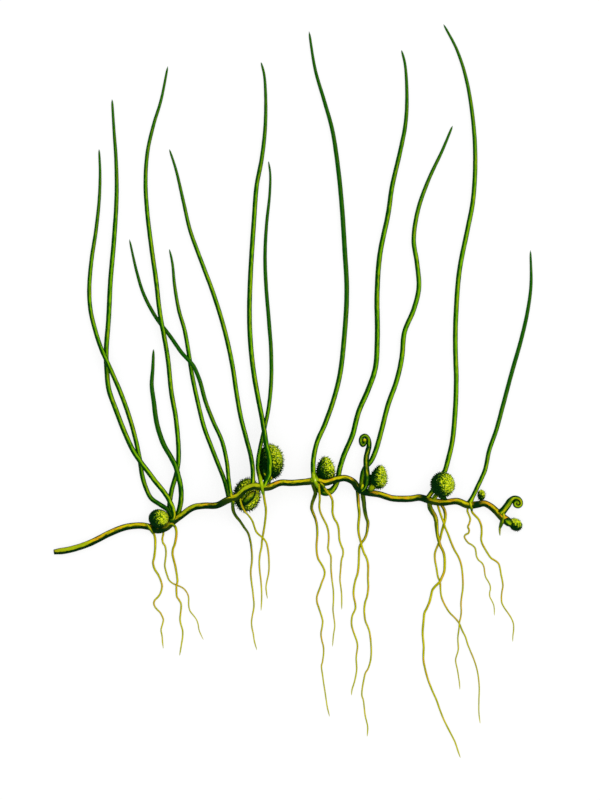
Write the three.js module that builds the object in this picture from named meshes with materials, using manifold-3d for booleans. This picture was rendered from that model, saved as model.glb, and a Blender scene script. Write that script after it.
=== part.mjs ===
// Pillwort (Pilularia globulifera): a creeping stem with thread leaves, hairy pills and roots.
// The lifted plant lies on a flat surface, z = 0. Millimetres, +Z up, stem along X, leaf tips to +Y.
// Places across the plant are pixels of its picture, x to the right and y down, scaled by PIXEL.
// A place is [x, y] or [x, y, lift]: lift is the height of the underside above the surface, in mm.

import * as THREE from "three";
import { mergeVertices } from "three/addons/utils/BufferGeometryUtils.js";
import Module from "manifold-3d";

const wasm = await Module();
wasm.setup();

// Driving dimensions, in mm
const PIXEL = 0.15; // real length of one pixel of the picture
const ORIGIN_PLACE = [292.8, 391]; // the place above the middle of the plant's box
const JOINT_GAP = 0.05; // between a piece and the stem that it grows from
const STEM_DIAMETER = 1.0;
const STEM_NODE_SWELL = 0.12; // extra diameter where leaves and roots leave the stem
const STEM_NODE_LENGTH = 1.6; // how far a swelling reaches along the stem
const STEM_NODE_PLACES = [165, 232, 262, 316, 361, 430, 469, 502, 507, 511]; // x of each node
const STEM_END_SHARE = 0.78; // diameter of the stem's cut end, as a share of its own
const LEAF_TIP_SHARE = 0.45; // diameter at a leaf's tip, as a share of its base
const LEAF_TAPER_POWER = 5; // a leaf keeps its thickness, then narrows towards the tip
const LEAF_BASE_LENGTH = 2; // a thick base of a leaf thins away over this length
const ROOT_TIP_SHARE = 0.5;
const ROOT_TOP_LENGTH = 4.6; // a root's diameter at its top gives way to its own over this length
const STALK_DIAMETER = 0.42; // of a pill
const PILL_FLAT_DEPTH = 0.2; // how much of a pill's underside is pressed flat

// Facets
const STEM_SIDES = 8;
const LEAF_SIDES = 6;
const ROOT_SIDES = 5;
const PILL_SIDES = 10;
const PILL_RINGS = 7;
const STEM_RINGS_PER_SPAN = 1;
const LEAF_RINGS_PER_SPAN = 1.4;
const ROOT_RINGS_PER_SPAN = 1;

// The creeping stem, from its cut end to the growing end. It climbs over the second pill.
const STEM_PLACES = [
  [54, 552], [70, 549.5], [90, 543], [110, 533], [126, 527], [140, 525.5], [149, 526.8], [157, 530],
  [165, 528, 0.02], [173, 521.5, 0.05], [182, 515, 0.15], [193, 507.5, 0.45], [205, 505.5, 1.0],
  [217, 505, 1.8], [228, 499.5, 2.6], [238, 495.5, 3.1], [245, 489, 3.4], [254, 485.6, 3.45],
  [263, 487, 3.1], [270, 486.4, 2.65], [280, 482.6, 2.05], [292, 482.7, 1.55], [306, 481.6, 1.42],
  [316, 480.5, 1.48], [325, 482.3, 1.5], [337, 479, 1.36], [345, 478, 1.1], [353, 481.5, 0.7],
  [359, 489, 0.3], [366, 492, 0.1], [380, 494.5], [392, 498.2], [410, 498.7], [420, 497.5],
  [431, 500.8], [443, 502.5], [457, 501.2], [468, 505], [477, 504.5], [484, 503.3], [490, 506],
  [496, 511], [501.5, 516.4], [511, 524],
];

// The grown leaves, each from its base on the stem to its tip. base is the diameter of a thick base.
const LEAVES = {
  leaf_01: {
    diameter: 0.7,
    places: [
      [172, 520.5, 0.55], [170.6, 514.3, 0.76], [167.4, 509.4, 0.7], [160.3, 504.6, 0.5], [151, 498, 0.15],
      [146, 488], [142.5, 477], [139.5, 458], [134.5, 435], [127, 410], [119.5, 390, 0.1],
      [111, 370, 0.82], [106.5, 360, 0.9], [102, 350, 0.82], [96, 333, 0.1], [90.5, 310], [89.2, 290],
      [91.5, 260], [96, 230], [99.3, 198], [100, 172], [99, 149],
    ],
  },
  leaf_02: {
    diameter: 0.77,
    places: [
      [170.3, 521, 1.26], [172.4, 520, 1.4], [173.9, 517.3, 1.54], [173.9, 511, 1.55], [171, 503, 1.35],
      [165, 493, 0.95], [156, 482, 0.65], [147, 470, 0.75], [139.5, 460, 0.82], [133, 450, 0.7],
      [124.5, 432], [116, 410], [109, 390], [106.8, 370], [106.2, 350], [108.5, 320], [110.5, 280],
      [114, 240], [116.6, 195], [116, 160], [113.8, 128], [112, 99],
    ],
  },
  leaf_03: {
    diameter: 0.78,
    places: [
      [176.5, 518], [178.8, 511], [180.8, 502], [181.2, 492, 0.25], [180.4, 484, 0.75],
      [178.5, 476, 0.8], [176, 467, 0.8], [171, 457, 0.4], [163.5, 444], [157, 424], [153.8, 402],
      [151.7, 385], [152.8, 368], [153.5, 349],
    ],
  },
  leaf_04: {
    diameter: 0.72,
    places: [
      [172.5, 519], [170.5, 513], [169.5, 506], [170.3, 498], [172.2, 488], [176, 475], [178.3, 462],
      [178.4, 446], [175.8, 418], [171.3, 392], [168, 360], [163.8, 334, 0.64], [161.5, 322, 0.72],
      [159.3, 308, 0.6], [156, 280], [151.5, 248], [147, 210], [145.5, 182], [147.5, 152],
      [153.5, 125], [161, 100], [167.8, 66],
    ],
  },
  leaf_05: {
    diameter: 0.64,
    places: [
      [232.5, 497, 3.0], [230.5, 490, 2.95], [229, 480, 2.5], [227, 462, 1.6], [222, 441, 0.7],
      [213, 421, 0.1], [205.5, 401.5], [199.5, 380, 0.1], [193.5, 366, 0.6], [188.5, 360, 0.72],
      [182, 353, 0.6], [170, 336], [156, 317.5], [144, 295], [137, 273], [129.3, 239],
    ],
  },
  leaf_06: {
    diameter: 0.68,
    places: [
      [229, 498.8, 2.45], [227.5, 491, 2.1], [224.5, 480, 1.5], [219, 466, 0.8], [211, 446, 0.1],
      [204, 427], [197.3, 400], [192, 375], [188.5, 352], [184.5, 330], [178.8, 310], [174.5, 285],
      [172.3, 263], [169.3, 249],
    ],
  },
  leaf_07: {
    diameter: 0.7,
    places: [
      [252.7, 485.3, 3.6], [253.1, 478, 3.35], [253, 470, 2.85], [251.2, 457, 1.9], [246.5, 439, 0.8],
      [241, 418, 0.1], [236.5, 393], [232.3, 365], [224.5, 330], [213.8, 295], [200.8, 260], [190, 230],
      [183, 200], [176, 170], [169.3, 149],
    ],
  },
  leaf_08: {
    diameter: 0.76,
    places: [
      [263.8, 486.5, 3.4], [266, 481.5, 3.45], [268.8, 475, 3.65], [270, 467, 3.8], [269.5, 456, 3.75],
      [266.8, 446, 3.3], [264.7, 433, 2.4], [261.5, 415, 1.2], [257, 392, 0.3], [253.3, 370],
      [250.3, 340], [249.4, 310], [251, 265], [254, 220], [256.6, 186], [261.5, 160], [265, 130],
      [265.7, 100], [264.2, 75], [261, 62],
    ],
  },
  leaf_09: {
    diameter: 0.62,
    places: [
      [261.3, 486, 2.7], [260, 478, 2.65], [258, 469, 2.65], [258.2, 460, 2.9], [259.8, 450, 2.35],
      [262.3, 438, 1.45], [265.5, 424, 0.75], [269, 405, 0.1], [271.2, 380], [271, 350], [268.8, 320],
      [266.2, 288], [265, 257], [266.5, 225], [269.6, 195], [270.2, 174], [268.5, 161],
    ],
  },
  leaf_10: {
    diameter: 0.75,
    places: [
      [315.2, 481, 1.68], [313.6, 474.5, 1.75], [313, 466, 1.6], [314, 455, 1.1], [317.5, 441, 0.4],
      [325, 424], [333.5, 400], [340, 374], [344.3, 336], [346.8, 292], [344.7, 250], [342, 208],
      [338.3, 170], [332.3, 130], [324, 100], [315.3, 70], [309, 31],
    ],
  },
  leaf_11: {
    diameter: 0.8,
    base: 1.4,
    places: [
      [319.4, 486.8, 0.5], [321.8, 490.4, 0.1], [326, 492.2], [330.2, 491.4], [333.4, 488.6],
      [335.8, 484.8], [338, 478], [339.6, 469], [344, 455], [352.5, 435], [358.5, 412], [368, 390],
      [375.3, 368], [377.3, 335], [377, 295], [379.8, 255], [388.3, 213], [392, 187], [400.5, 150],
      [405.6, 123], [406.9, 95], [405, 64], [401.5, 50],
    ],
  },
  leaf_12: {
    diameter: 0.76,
    places: [
      [361, 489, 0.1], [361.7, 482], [362.7, 474], [365.4, 467.4], [371, 461], [376.2, 449], [381.5, 430],
      [388, 405], [396.5, 381], [401.7, 358], [404.5, 332], [413.5, 310], [418.8, 288], [416.8, 262],
      [413.7, 240], [418, 210], [428.5, 180], [442.5, 150], [452.7, 125.5],
    ],
  },
  leaf_13: {
    diameter: 0.75,
    places: [
      [427, 498.8], [432, 491.8], [438.8, 481.5], [444.4, 472], [448, 460], [452.3, 441], [455.2, 410],
      [456.2, 380], [455.3, 345], [456, 313], [459.5, 270], [467.4, 230], [473, 200], [475.2, 160],
      [473.2, 122], [466.5, 80], [457, 50], [443.5, 24],
    ],
  },
  leaf_14: {
    diameter: 0.67,
    places: [
      [469.3, 503.5, 0.1], [472.8, 496.5], [476, 490], [480.5, 480.5], [485, 470], [489.3, 450],
      [496.3, 430], [502.8, 406], [512.5, 370], [520.5, 342], [527.3, 313], [531, 285], [530.5, 250],
    ],
  },
};

// The two young leaves, each from the base of its stalk to the end of its coil, which lies on the
// surface. girths are pairs of a share of the length and the diameter there.
const YOUNG_LEAVES = {
  young_leaf_1: {
    places: [
      [361.5, 491.5, 0.62], [365, 487.5, 0.72], [366.9, 481.5, 0.8], [367, 474, 0.86],
      [366.1, 466, 0.86], [366.2, 458, 0.78], [367.8, 451, 0.3], [369, 446.3], [369, 442],
      [367.9, 438.2], [365.3, 435.9], [362.6, 436.6], [361, 439.5], [361.2, 443], [362.6, 445.1],
      [364.3, 444.4], [364.9, 442.2], [364.6, 438.4],
    ],
    girths: [[0, 0.7], [0.25, 0.84], [0.55, 0.84], [0.7, 0.7], [0.85, 0.7], [0.93, 0.58], [1, 0.62]],
  },
  young_leaf_2: {
    places: [
      [499.5, 514, 0.1], [503.1, 510.6], [507, 505.7], [510.2, 500.9], [513.9, 498], [518.2, 498.4],
      [520.9, 501.3], [520.8, 504.6], [518.2, 506.4], [515.4, 505.4], [514.7, 502.9], [516.5, 501.6],
      [518.2, 503], [516.9, 504.3],
    ],
    girths: [
      [0, 1.3], [0.12, 1.1], [0.33, 1], [0.46, 0.7], [0.62, 0.58], [0.76, 0.62], [0.88, 0.58], [1, 0.5],
    ],
  },
};

// The hairy pills, drawn out to the tips of their hairs. lean turns the long axis clockwise, in degrees.
// point makes the far end narrower than the near one, as in an egg.
const PILLS = {
  sporocarp_1: {
    place: [158.9, 518.3], across: 3.12, along: 2.86, thick: 2.86, joint: [166, 527.5, 0.4],
  },
  sporocarp_2: {
    place: [247.2, 494.8], across: 4.2, along: 5.3, thick: 3.7, lean: 6, joint: [254, 486, 3.6],
  },
  sporocarp_3: {
    place: [270.4, 461.8], across: 4.15, along: 5.6, thick: 3.7, joint: [269.5, 486, 3.0],
  },
  sporocarp_4: {
    place: [325.5, 470.2], across: 3.1, along: 4.4, thick: 2.6, point: 0.2, joint: [325, 482, 1.8],
  },
  sporocarp_5: {
    place: [378.9, 476.9], across: 2.72, along: 3.84, thick: 2.5, lean: 10, point: 0.25,
    joint: [369.8, 491, 0.8],
  },
  sporocarp_6: {
    place: [442.3, 484.2], across: 3.75, along: 3.95, thick: 3.6, lift: 0.8, joint: [431, 500.8, 0.7],
  },
  sporocarp_7: {
    place: [481.3, 495.1], across: 1.4, along: 1.85, thick: 1.4, joint: [481, 503.5, 0.5],
  },
  terminal_bud: {
    place: [515.4, 524.5], across: 1.95, along: 2.3, thick: 1.9, lean: -52, joint: [511, 524, 0.6],
  },
};

// The roots, each from its top on the stem to its tip. top is the diameter at a thick or thin top.
const ROOTS = {
  root_01: {
    diameter: 0.4,
    places: [
      [149.5, 528.5, 0.25], [153, 533], [155.2, 541], [154.5, 554], [153.3, 565], [157.5, 573.5],
      [161.7, 584], [159.5, 595], [154.7, 603], [160, 612.5], [163, 620], [161.2, 631], [163.3, 649],
    ],
  },
  root_02: {
    diameter: 0.32,
    places: [
      [163.5, 529.5, 0.25], [162.3, 539], [165.5, 547], [165.2, 562], [168, 578], [172.5, 583.5],
      [180, 586.5], [187, 593], [188.7, 606], [193, 615], [198.5, 627], [203.5, 640],
    ],
  },
  root_03: {
    diameter: 0.42,
    places: [
      [171.5, 523.5, 0.25], [175.5, 527.5], [176.2, 537], [173, 549], [173.3, 558], [176, 570, 0.15],
      [177.4, 581, 0.36], [176.6, 591, 0.3], [180.5, 603], [180.2, 619], [182.5, 632], [179.5, 656],
    ],
  },
  root_04: {
    diameter: 0.38,
    top: 0.54,
    places: [
      [233.2, 499.5, 2.85], [233, 507, 2.1], [235.5, 515, 1.3], [240.5, 521.8, 0.7], [246.5, 530.5, 0.2],
      [250.8, 544], [252, 558], [250.7, 572], [252.5, 588], [254, 604], [251.6, 621], [253.5, 636],
      [257, 650.5],
    ],
  },
  root_05: {
    diameter: 0.4,
    top: 0.28,
    places: [
      [240.5, 496, 3.35], [242, 505, 3.25], [245.5, 511.5, 2.7], [250, 517.5, 1.7], [253.7, 525, 0.9],
      [257, 532.5, 0.5], [262.5, 537.5, 0.46], [266.3, 544, 0.3], [268.8, 556], [268.3, 574],
      [266, 588], [267.5, 599],
    ],
  },
  root_06: {
    diameter: 0.4,
    places: [
      [263.5, 489, 2.85], [264.6, 500, 2.0], [266, 511, 1.2], [265, 524, 0.4], [262.8, 537],
      [260.5, 551], [259.8, 571], [261.6, 590], [261, 611],
    ],
  },
  root_07: {
    diameter: 0.38,
    top: 0.66,
    places: [
      [312.6, 483, 1.25], [314.3, 488, 0.5], [315.6, 493], [312, 504], [313.5, 514], [317, 529],
      [316.5, 547], [319, 560.5], [324.5, 572], [321, 585], [317, 597], [320.5, 613], [322.2, 627],
      [321.5, 640], [323.5, 652], [321.7, 667], [325.5, 695], [329.7, 717],
    ],
  },
  root_08: {
    diameter: 0.36,
    places: [
      [318.5, 482.5, 2.15], [319, 488, 1.9], [319.6, 495, 1.35], [319.3, 505, 0.5], [321.5, 515],
      [327, 526], [328.6, 541], [331, 560], [332.5, 583], [333.5, 606], [334.5, 624], [332.5, 647],
    ],
  },
  root_09: {
    diameter: 0.4,
    places: [
      [322, 483, 1.75], [325, 489, 1.4], [329.5, 494, 1.0], [332.3, 501, 0.5], [332.8, 512],
      [338, 527], [340, 542], [343, 553], [340.7, 569], [341, 588], [341.7, 610],
    ],
  },
  root_10: {
    diameter: 0.4,
    top: 0.54,
    places: [
      [357, 488, 0.3], [358.3, 500], [359.3, 514], [358.5, 528, 0.1], [360.8, 542, 0.4],
      [364, 553, 0.16], [368, 567], [368, 588], [364.5, 608], [367, 625], [371, 643], [370, 662],
      [364, 679], [362.2, 695], [365.5, 717], [367.2, 737],
    ],
  },
  root_11: {
    diameter: 0.42,
    top: 0.68,
    places: [
      [362.6, 493.5, 0.1], [363.8, 504], [366.3, 517], [367.3, 528], [364.3, 539], [359.6, 548],
      [358.5, 566], [354.5, 584], [355.2, 606], [351.6, 622], [357, 642], [356.5, 668], [351.5, 695.5],
    ],
  },
  root_12: {
    diameter: 0.46,
    top: 0.78,
    places: [
      [429.5, 502.5, 0.1], [430, 508.5], [434.8, 515.5], [436.5, 523, 0.06], [437.2, 532, 0.28],
      [439, 542, 0.4], [443.5, 553, 0.1], [444.2, 571, 0.15], [439.5, 582, 0.4], [432, 592],
      [428, 606], [424, 619], [423.6, 645], [424.7, 667], [432, 690], [444, 720], [455, 742], [460.5, 758],
    ],
  },
  root_13: {
    diameter: 0.36,
    top: 0.5,
    places: [
      [441, 504.2, 0.15], [444, 509.5], [445.4, 516], [443.3, 527], [440, 540], [435.3, 555], [437.5, 574],
      [440.5, 590], [446, 607], [455, 618], [462, 630], [470, 650], [477.5, 672], [479.2, 697],
      [480.3, 724],
    ],
  },
  root_14: {
    diameter: 0.36,
    places: [
      [437.5, 504.5, 0.15], [440.8, 515, 0.2], [444.5, 525, 0.42], [448.5, 535, 0.1], [455.5, 552],
      [461.5, 567], [463, 583], [461.2, 604], [459.3, 622, 0.42], [457.8, 640, 0.1], [455.8, 660],
      [460, 690],
    ],
  },
  root_15: {
    diameter: 0.32,
    places: [
      [468.2, 506, 0.15], [467.6, 511.5], [470.2, 519.5], [468.2, 527], [468.8, 533], [464.6, 537],
      [470, 544], [476, 551.5], [478, 559.5], [484.5, 568], [486.5, 579], [490.5, 589], [491, 599],
      [494.5, 616],
    ],
  },
  root_16: {
    diameter: 0.36,
    places: [
      [471.6, 506.5, 0.15], [472.8, 513.5], [479.5, 521], [481.7, 534], [483, 546], [490, 557.5],
      [498, 563], [502, 581], [501.7, 600], [508.5, 613.5], [513.6, 627], [512.8, 642],
    ],
  },
  root_17: {
    diameter: 0.56,
    places: [[503.5, 516.5, 0.15], [501.2, 522.5], [499.9, 528.5], [500, 536]],
  },
};

const leafFinish = new THREE.MeshStandardMaterial({ color: 0x4f9a1e, roughness: 0.45, metalness: 0 });
const youngFinish = new THREE.MeshStandardMaterial({ color: 0x86b428, roughness: 0.5, metalness: 0 });
const stemFinish = new THREE.MeshStandardMaterial({ color: 0xa08a1e, roughness: 0.5, metalness: 0 });
const pillFinish = new THREE.MeshStandardMaterial({ color: 0x6d8f1c, roughness: 0.9, metalness: 0 });
const rootFinish = new THREE.MeshStandardMaterial({ color: 0xb8a63a, roughness: 0.55, metalness: 0 });

// A place as a point over the surface, in mm.
function pointAt([x, y, lift = 0]) {
  return new THREE.Vector3((x - ORIGIN_PLACE[0]) * PIXEL, (ORIGIN_PLACE[1] - y) * PIXEL, lift);
}

// A smooth line through places, as ring centres on the surface or lifted off it, with arc lengths.
function ringsAlong(points, ringsPerSpan) {
  const line = new THREE.CatmullRomCurve3(points);
  const count = Math.round((points.length - 1) * ringsPerSpan);
  const centres = [];
  const lengths = [];
  for (let i = 0; i <= count; i++) {
    const centre = line.getPoint(i / count);
    centre.z = Math.max(centre.z, 0);
    lengths.push(i === 0 ? 0 : lengths[i - 1] + centre.distanceTo(centres[i - 1]));
    centres.push(centre);
  }
  return { centres, lengths };
}

// A round rod turned straight, closed at both ends, then bent along its rings. radiusAt takes the
// distance from the base and the whole length. grow widens the section about the same centre line.
function bentRod(points, radiusAt, sides, ringsPerSpan, grow = 0) {
  const { centres, lengths } = ringsAlong(points, ringsPerSpan);
  const total = lengths.at(-1);
  const radii = lengths.map((length) => radiusAt(length, total));
  const middles = centres.map((centre, i) => centre.clone().setZ(centre.z + radii[i]));
  const profile = [
    new THREE.Vector2(0, 0),
    ...radii.map((radius, i) => new THREE.Vector2(radius + grow, lengths[i])),
    new THREE.Vector2(0, total),
  ];
  const rod = new THREE.LatheGeometry(profile, sides);
  bendAlong(rod, middles, profile.length);
  return solidOf(rod);
}

// Moves each ring of a straight lathed rod to its own middle, square to the line there.
function bendAlong(rod, middles, profileLength) {
  const last = middles.length - 1;
  const frames = middles.map((middle, i) => {
    const before = middles[Math.max(i - 1, 0)];
    const after = middles[Math.min(i + 1, last)];
    const ahead = after.clone().sub(before).normalize();
    const side = ahead.clone().cross(new THREE.Vector3(0, 0, 1)).normalize();
    return { side, up: side.clone().cross(ahead) };
  });
  const position = rod.getAttribute("position");
  for (let v = 0; v < position.count; v++) {
    const ring = THREE.MathUtils.clamp((v % profileLength) - 1, 0, last);
    const bent = middles[ring].clone();
    bent.addScaledVector(frames[ring].side, position.getX(v));
    bent.addScaledVector(frames[ring].up, position.getZ(v));
    position.setXYZ(v, bent.x, bent.y, bent.z);
  }
}

// A three.js geometry as a manifold-3d solid.
function solidOf(geometry) {
  geometry.deleteAttribute("normal");
  geometry.deleteAttribute("uv");
  const merged = mergeVertices(geometry, 1e-4);
  const { index } = merged;
  const corners = [];
  for (let i = 0; i < index.count; i += 3) {
    const [a, b, c] = [index.getX(i), index.getX(i + 1), index.getX(i + 2)];
    if (a !== b && b !== c && c !== a) corners.push(a, b, c);
  }
  return new wasm.Manifold(
    new wasm.Mesh({
      numProp: 3,
      vertProperties: new Float32Array(merged.getAttribute("position").array),
      triVerts: new Uint32Array(corners),
    }),
  );
}

// A manifold-3d solid as a named mesh.
function meshOf(name, solid, finish) {
  const { vertProperties, triVerts } = solid.getMesh();
  const geometry = new THREE.BufferGeometry();
  geometry.setAttribute("position", new THREE.BufferAttribute(new Float32Array(vertProperties), 3));
  geometry.setIndex(new THREE.BufferAttribute(new Uint32Array(triVerts), 1));
  geometry.computeVertexNormals();
  const mesh = new THREE.Mesh(geometry, finish);
  mesh.name = name;
  return mesh;
}

// The stem's radius: swollen at each node, and a little narrower at its cut end.
function stemRadius(nodeLengths) {
  return (length) => {
    const swell = nodeLengths.reduce(
      (sum, node) => sum + Math.exp(-(((length - node) / STEM_NODE_LENGTH) ** 2)),
      0,
    );
    const end = THREE.MathUtils.lerp(STEM_END_SHARE, 1, Math.min(length / STEM_DIAMETER, 1));
    return ((STEM_DIAMETER + STEM_NODE_SWELL * swell) / 2) * end;
  };
}

// The creeping stem, or with grow the space that pieces growing from it keep clear of.
function stemSolid(grow = 0) {
  const points = STEM_PLACES.map(pointAt);
  const { centres, lengths } = ringsAlong(points, STEM_RINGS_PER_SPAN);
  const nodeLengths = STEM_NODE_PLACES.map((x) => {
    const along = (x - ORIGIN_PLACE[0]) * PIXEL;
    const ring = centres.findIndex((centre) => centre.x >= along);
    return lengths[ring];
  });
  return bentRod(points, stemRadius(nodeLengths), STEM_SIDES, STEM_RINGS_PER_SPAN, grow);
}

// A leaf: a base that may be thick, then a long even part that narrows to its tip.
function leafSolid({ diameter, base = diameter, places }) {
  const radiusAt = (length, total) => {
    const narrowed = (1 - LEAF_TIP_SHARE) * (length / total) ** LEAF_TAPER_POWER;
    const extra = (base - diameter) * Math.exp(-((length / LEAF_BASE_LENGTH) ** 2));
    return (diameter * (1 - narrowed) + extra) / 2;
  };
  return bentRod(places.map(pointAt), radiusAt, LEAF_SIDES, LEAF_RINGS_PER_SPAN);
}

// The diameter at a share of the length, in a straight line between the pairs that it lies between.
function girthAt(girths, share) {
  const next = Math.max(girths.findIndex(([end]) => end >= share), 1);
  const [start, from] = girths[next - 1];
  const [end, to] = girths[next];
  return THREE.MathUtils.mapLinear(share, start, end, from, to);
}

// A young leaf: its stalk and its coil in one rod.
function youngLeafSolid({ places, girths }) {
  const radiusAt = (length, total) => girthAt(girths, length / total) / 2;
  return bentRod(places.map(pointAt), radiusAt, LEAF_SIDES, 1);
}

// A root: a top that may be thick or thin, then a slow taper to the tip.
function rootSolid({ diameter, top = diameter, places }) {
  const radiusAt = (length, total) => {
    const thread = diameter * THREE.MathUtils.lerp(1, ROOT_TIP_SHARE, length / total);
    const extra = (top - diameter) * Math.exp(-((length / ROOT_TOP_LENGTH) ** 2));
    return (thread + extra) / 2;
  };
  return bentRod(places.map(pointAt), radiusAt, ROOT_SIDES, ROOT_RINGS_PER_SPAN);
}

// A pill: an egg shape lying on its side, with its underside pressed flat and a stalk to the stem.
function pillSolid({ place, across, along, thick, lean = 0, point = 0, lift = 0, joint }) {
  const middle = pointAt([...place, lift + thick / 2 - PILL_FLAT_DEPTH]);
  const profile = [];
  for (let i = 0; i <= PILL_RINGS; i++) {
    const angle = Math.PI * (i / PILL_RINGS - 0.5);
    const onAxis = i === 0 || i === PILL_RINGS;
    const width = onAxis ? 0 : (Math.cos(angle) * (1 - point * Math.sin(angle))) / 2;
    profile.push(new THREE.Vector2(width, Math.sin(angle) / 2));
  }
  const egg = new THREE.LatheGeometry(profile, PILL_SIDES, Math.PI / PILL_SIDES);
  egg.scale(across, along, thick);
  egg.rotateZ(-THREE.MathUtils.degToRad(lean));
  egg.translate(middle.x, middle.y, middle.z);
  const body = solidOf(egg).subtract(slabBelow(lift));
  return body.add(stalkSolid(middle, pointAt(joint)));
}

// The stalk from the middle of a pill to its joint in the stem.
function stalkSolid(from, to) {
  const radius = STALK_DIAMETER / 2;
  const ends = [from, to].map((point) => point.clone().setZ(point.z - radius));
  return bentRod(ends, () => radius, LEAF_SIDES, 2);
}

// Everything under a level, as a block wide enough for the whole plant.
function slabBelow(level) {
  const size = 200;
  const slab = new THREE.BoxGeometry(size, size, size);
  slab.translate(0, 0, level - size / 2);
  return solidOf(slab);
}

// Adds each piece of one kind to the plant, trimmed where it meets the stem.
function addPieces(plant, pieces, makeSolid, keepClear, finish) {
  for (const [name, piece] of Object.entries(pieces)) {
    plant.add(meshOf(name, makeSolid(piece).subtract(keepClear), finish));
  }
}

const pillwort = new THREE.Group();
const stemSpace = stemSolid(JOINT_GAP);
pillwort.add(meshOf("rhizome", stemSolid(), stemFinish));
addPieces(pillwort, LEAVES, leafSolid, stemSpace, leafFinish);
addPieces(pillwort, YOUNG_LEAVES, youngLeafSolid, stemSpace, youngFinish);
addPieces(pillwort, PILLS, pillSolid, stemSpace, pillFinish);
addPieces(pillwort, ROOTS, rootSolid, stemSpace, rootFinish);

export default pillwort;
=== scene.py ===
"""Pillwort (Pilularia globulifera), lifted from the water and laid flat on a pale table.

The creeping stem, thread leaves, coiled young leaves, hairy pills and roots are built around the
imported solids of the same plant. Places across the plant are pixels of its picture, x to the right
and y down, scaled by PIXEL. A place is (x, y) or (x, y, lift): lift is the height of the underside
over the table, in mm. Every mesh is in metres, +Z up, with the leaf tips towards +Y.
"""

import logging
import math
from dataclasses import dataclass, field, replace
from enum import Enum
from functools import cache
from typing import Any

import bmesh
import bpy
from mathutils import Matrix, Vector


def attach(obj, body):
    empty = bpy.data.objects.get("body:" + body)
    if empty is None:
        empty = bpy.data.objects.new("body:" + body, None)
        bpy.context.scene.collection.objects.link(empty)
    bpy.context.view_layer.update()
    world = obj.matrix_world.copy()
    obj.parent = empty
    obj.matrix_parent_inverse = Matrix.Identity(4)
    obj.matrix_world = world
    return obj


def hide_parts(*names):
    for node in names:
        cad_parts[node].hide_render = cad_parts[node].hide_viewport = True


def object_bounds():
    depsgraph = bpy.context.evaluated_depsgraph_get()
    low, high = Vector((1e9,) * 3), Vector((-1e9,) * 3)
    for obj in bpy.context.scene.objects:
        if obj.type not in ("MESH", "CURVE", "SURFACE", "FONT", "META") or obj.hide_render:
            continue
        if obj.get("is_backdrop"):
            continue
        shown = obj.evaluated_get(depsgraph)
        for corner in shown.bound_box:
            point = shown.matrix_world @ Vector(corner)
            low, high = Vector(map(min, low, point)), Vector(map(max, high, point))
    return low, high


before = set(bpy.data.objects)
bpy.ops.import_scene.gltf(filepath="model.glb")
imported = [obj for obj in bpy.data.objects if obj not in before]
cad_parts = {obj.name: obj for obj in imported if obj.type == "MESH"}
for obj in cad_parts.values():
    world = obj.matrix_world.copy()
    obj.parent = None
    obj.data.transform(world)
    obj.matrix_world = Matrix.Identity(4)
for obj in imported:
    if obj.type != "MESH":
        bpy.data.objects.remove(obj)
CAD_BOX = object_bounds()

LOG = logging.getLogger("pillwort")

Place = tuple[float, ...]
Rgb = tuple[int, int, int]
Socket = bpy.types.NodeSocket

MM = 0.001
PIXEL = 0.15  # mm of plant in one pixel of its picture
ORIGIN_PLACE = (292.8, 391.0)  # the place above the middle of the plant's box
PICTURE_MIDDLE = (300.0, 400.0)
PICTURE_HEIGHT = 800.0
BODY = "root"  # the plant is one body
LIGHT_LEVEL = 1.08  # how bright the studio makes a white face that looks up
SKIN_SHINE = 0.03  # specular level of every living skin
LEAST_GAP = 1e-4  # the least root of a distance between two points of a line
CLOSED_TIP = 0.05  # share of the radius that is left at the very end of a rod
HAIR_SIDES = 4
HAIR_SEGMENTS = 2
SHORTEST_HAIR = 0.55  # as a share of the longest
FIBRE_NOISE = {"detail": 3.0, "roughness": 0.6}
FIBRE_RANGE = (0.3, 0.7)  # the noise between two fibres and in the middle of one
PATCH_NOISE = {"detail": 3.0, "roughness": 0.55}


class Slot(Enum):
    """The record's material slots."""

    STEM = "stem"
    LEAF = "leaf"
    YOUNG_LEAF = "young_leaf"
    PILL = "pill"
    ROOT = "root"


class LitFrom(Enum):
    """The side of a pill that its painted light falls on, with painted shade on the other side."""

    RIGHT = (0.74, 0.24, 0.62)
    ABOVE = (0.42, 0.70, 0.56)
    UPPER_RIGHT = (0.58, 0.70, 0.42)
    FRONT = (0.42, 0.22, 0.88)


def srgb(colour: Rgb, alpha: float = 1.0) -> tuple[float, float, float, float]:
    """Turns a colour as seen on a screen into the linear values that a socket takes.

    Args:
        colour: red, green and blue from 0 to 255.
        alpha: the fourth value.

    Returns:
        Linear red, green and blue, and alpha.
    """
    linear = [c / 255 / 12.92 if c <= 10 else ((c / 255 + 0.055) / 1.055) ** 2.4 for c in colour]
    return (*linear, alpha)


def seen(colour: Rgb) -> tuple[float, float, float, float]:
    """Turns a colour as it is seen in the studio into a base colour.

    Args:
        colour: red, green and blue from 0 to 255.

    Returns:
        The linear base colour that the studio's light lifts to that colour.
    """
    red, green, blue, alpha = srgb(colour)
    return red / LIGHT_LEVEL, green / LIGHT_LEVEL, blue / LIGHT_LEVEL, alpha


def point_at(place: Place) -> Vector:
    """Turns a place into a point in mm, with its lift as the height."""
    x, y, *lift = place
    return Vector(((x - ORIGIN_PLACE[0]) * PIXEL, (ORIGIN_PLACE[1] - y) * PIXEL, lift[0] if lift else 0.0))


def mix_number(low: float, high: float, share: float) -> float:
    """Goes from low to high as share goes from 0 to 1."""
    return low + (high - low) * share


def fall(distance: float, reach: float, power: int = 2) -> float:
    """Falls smoothly from 1 to 0 with the distance, most of it within the reach."""
    return math.exp(-((distance / reach) ** power))


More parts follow.
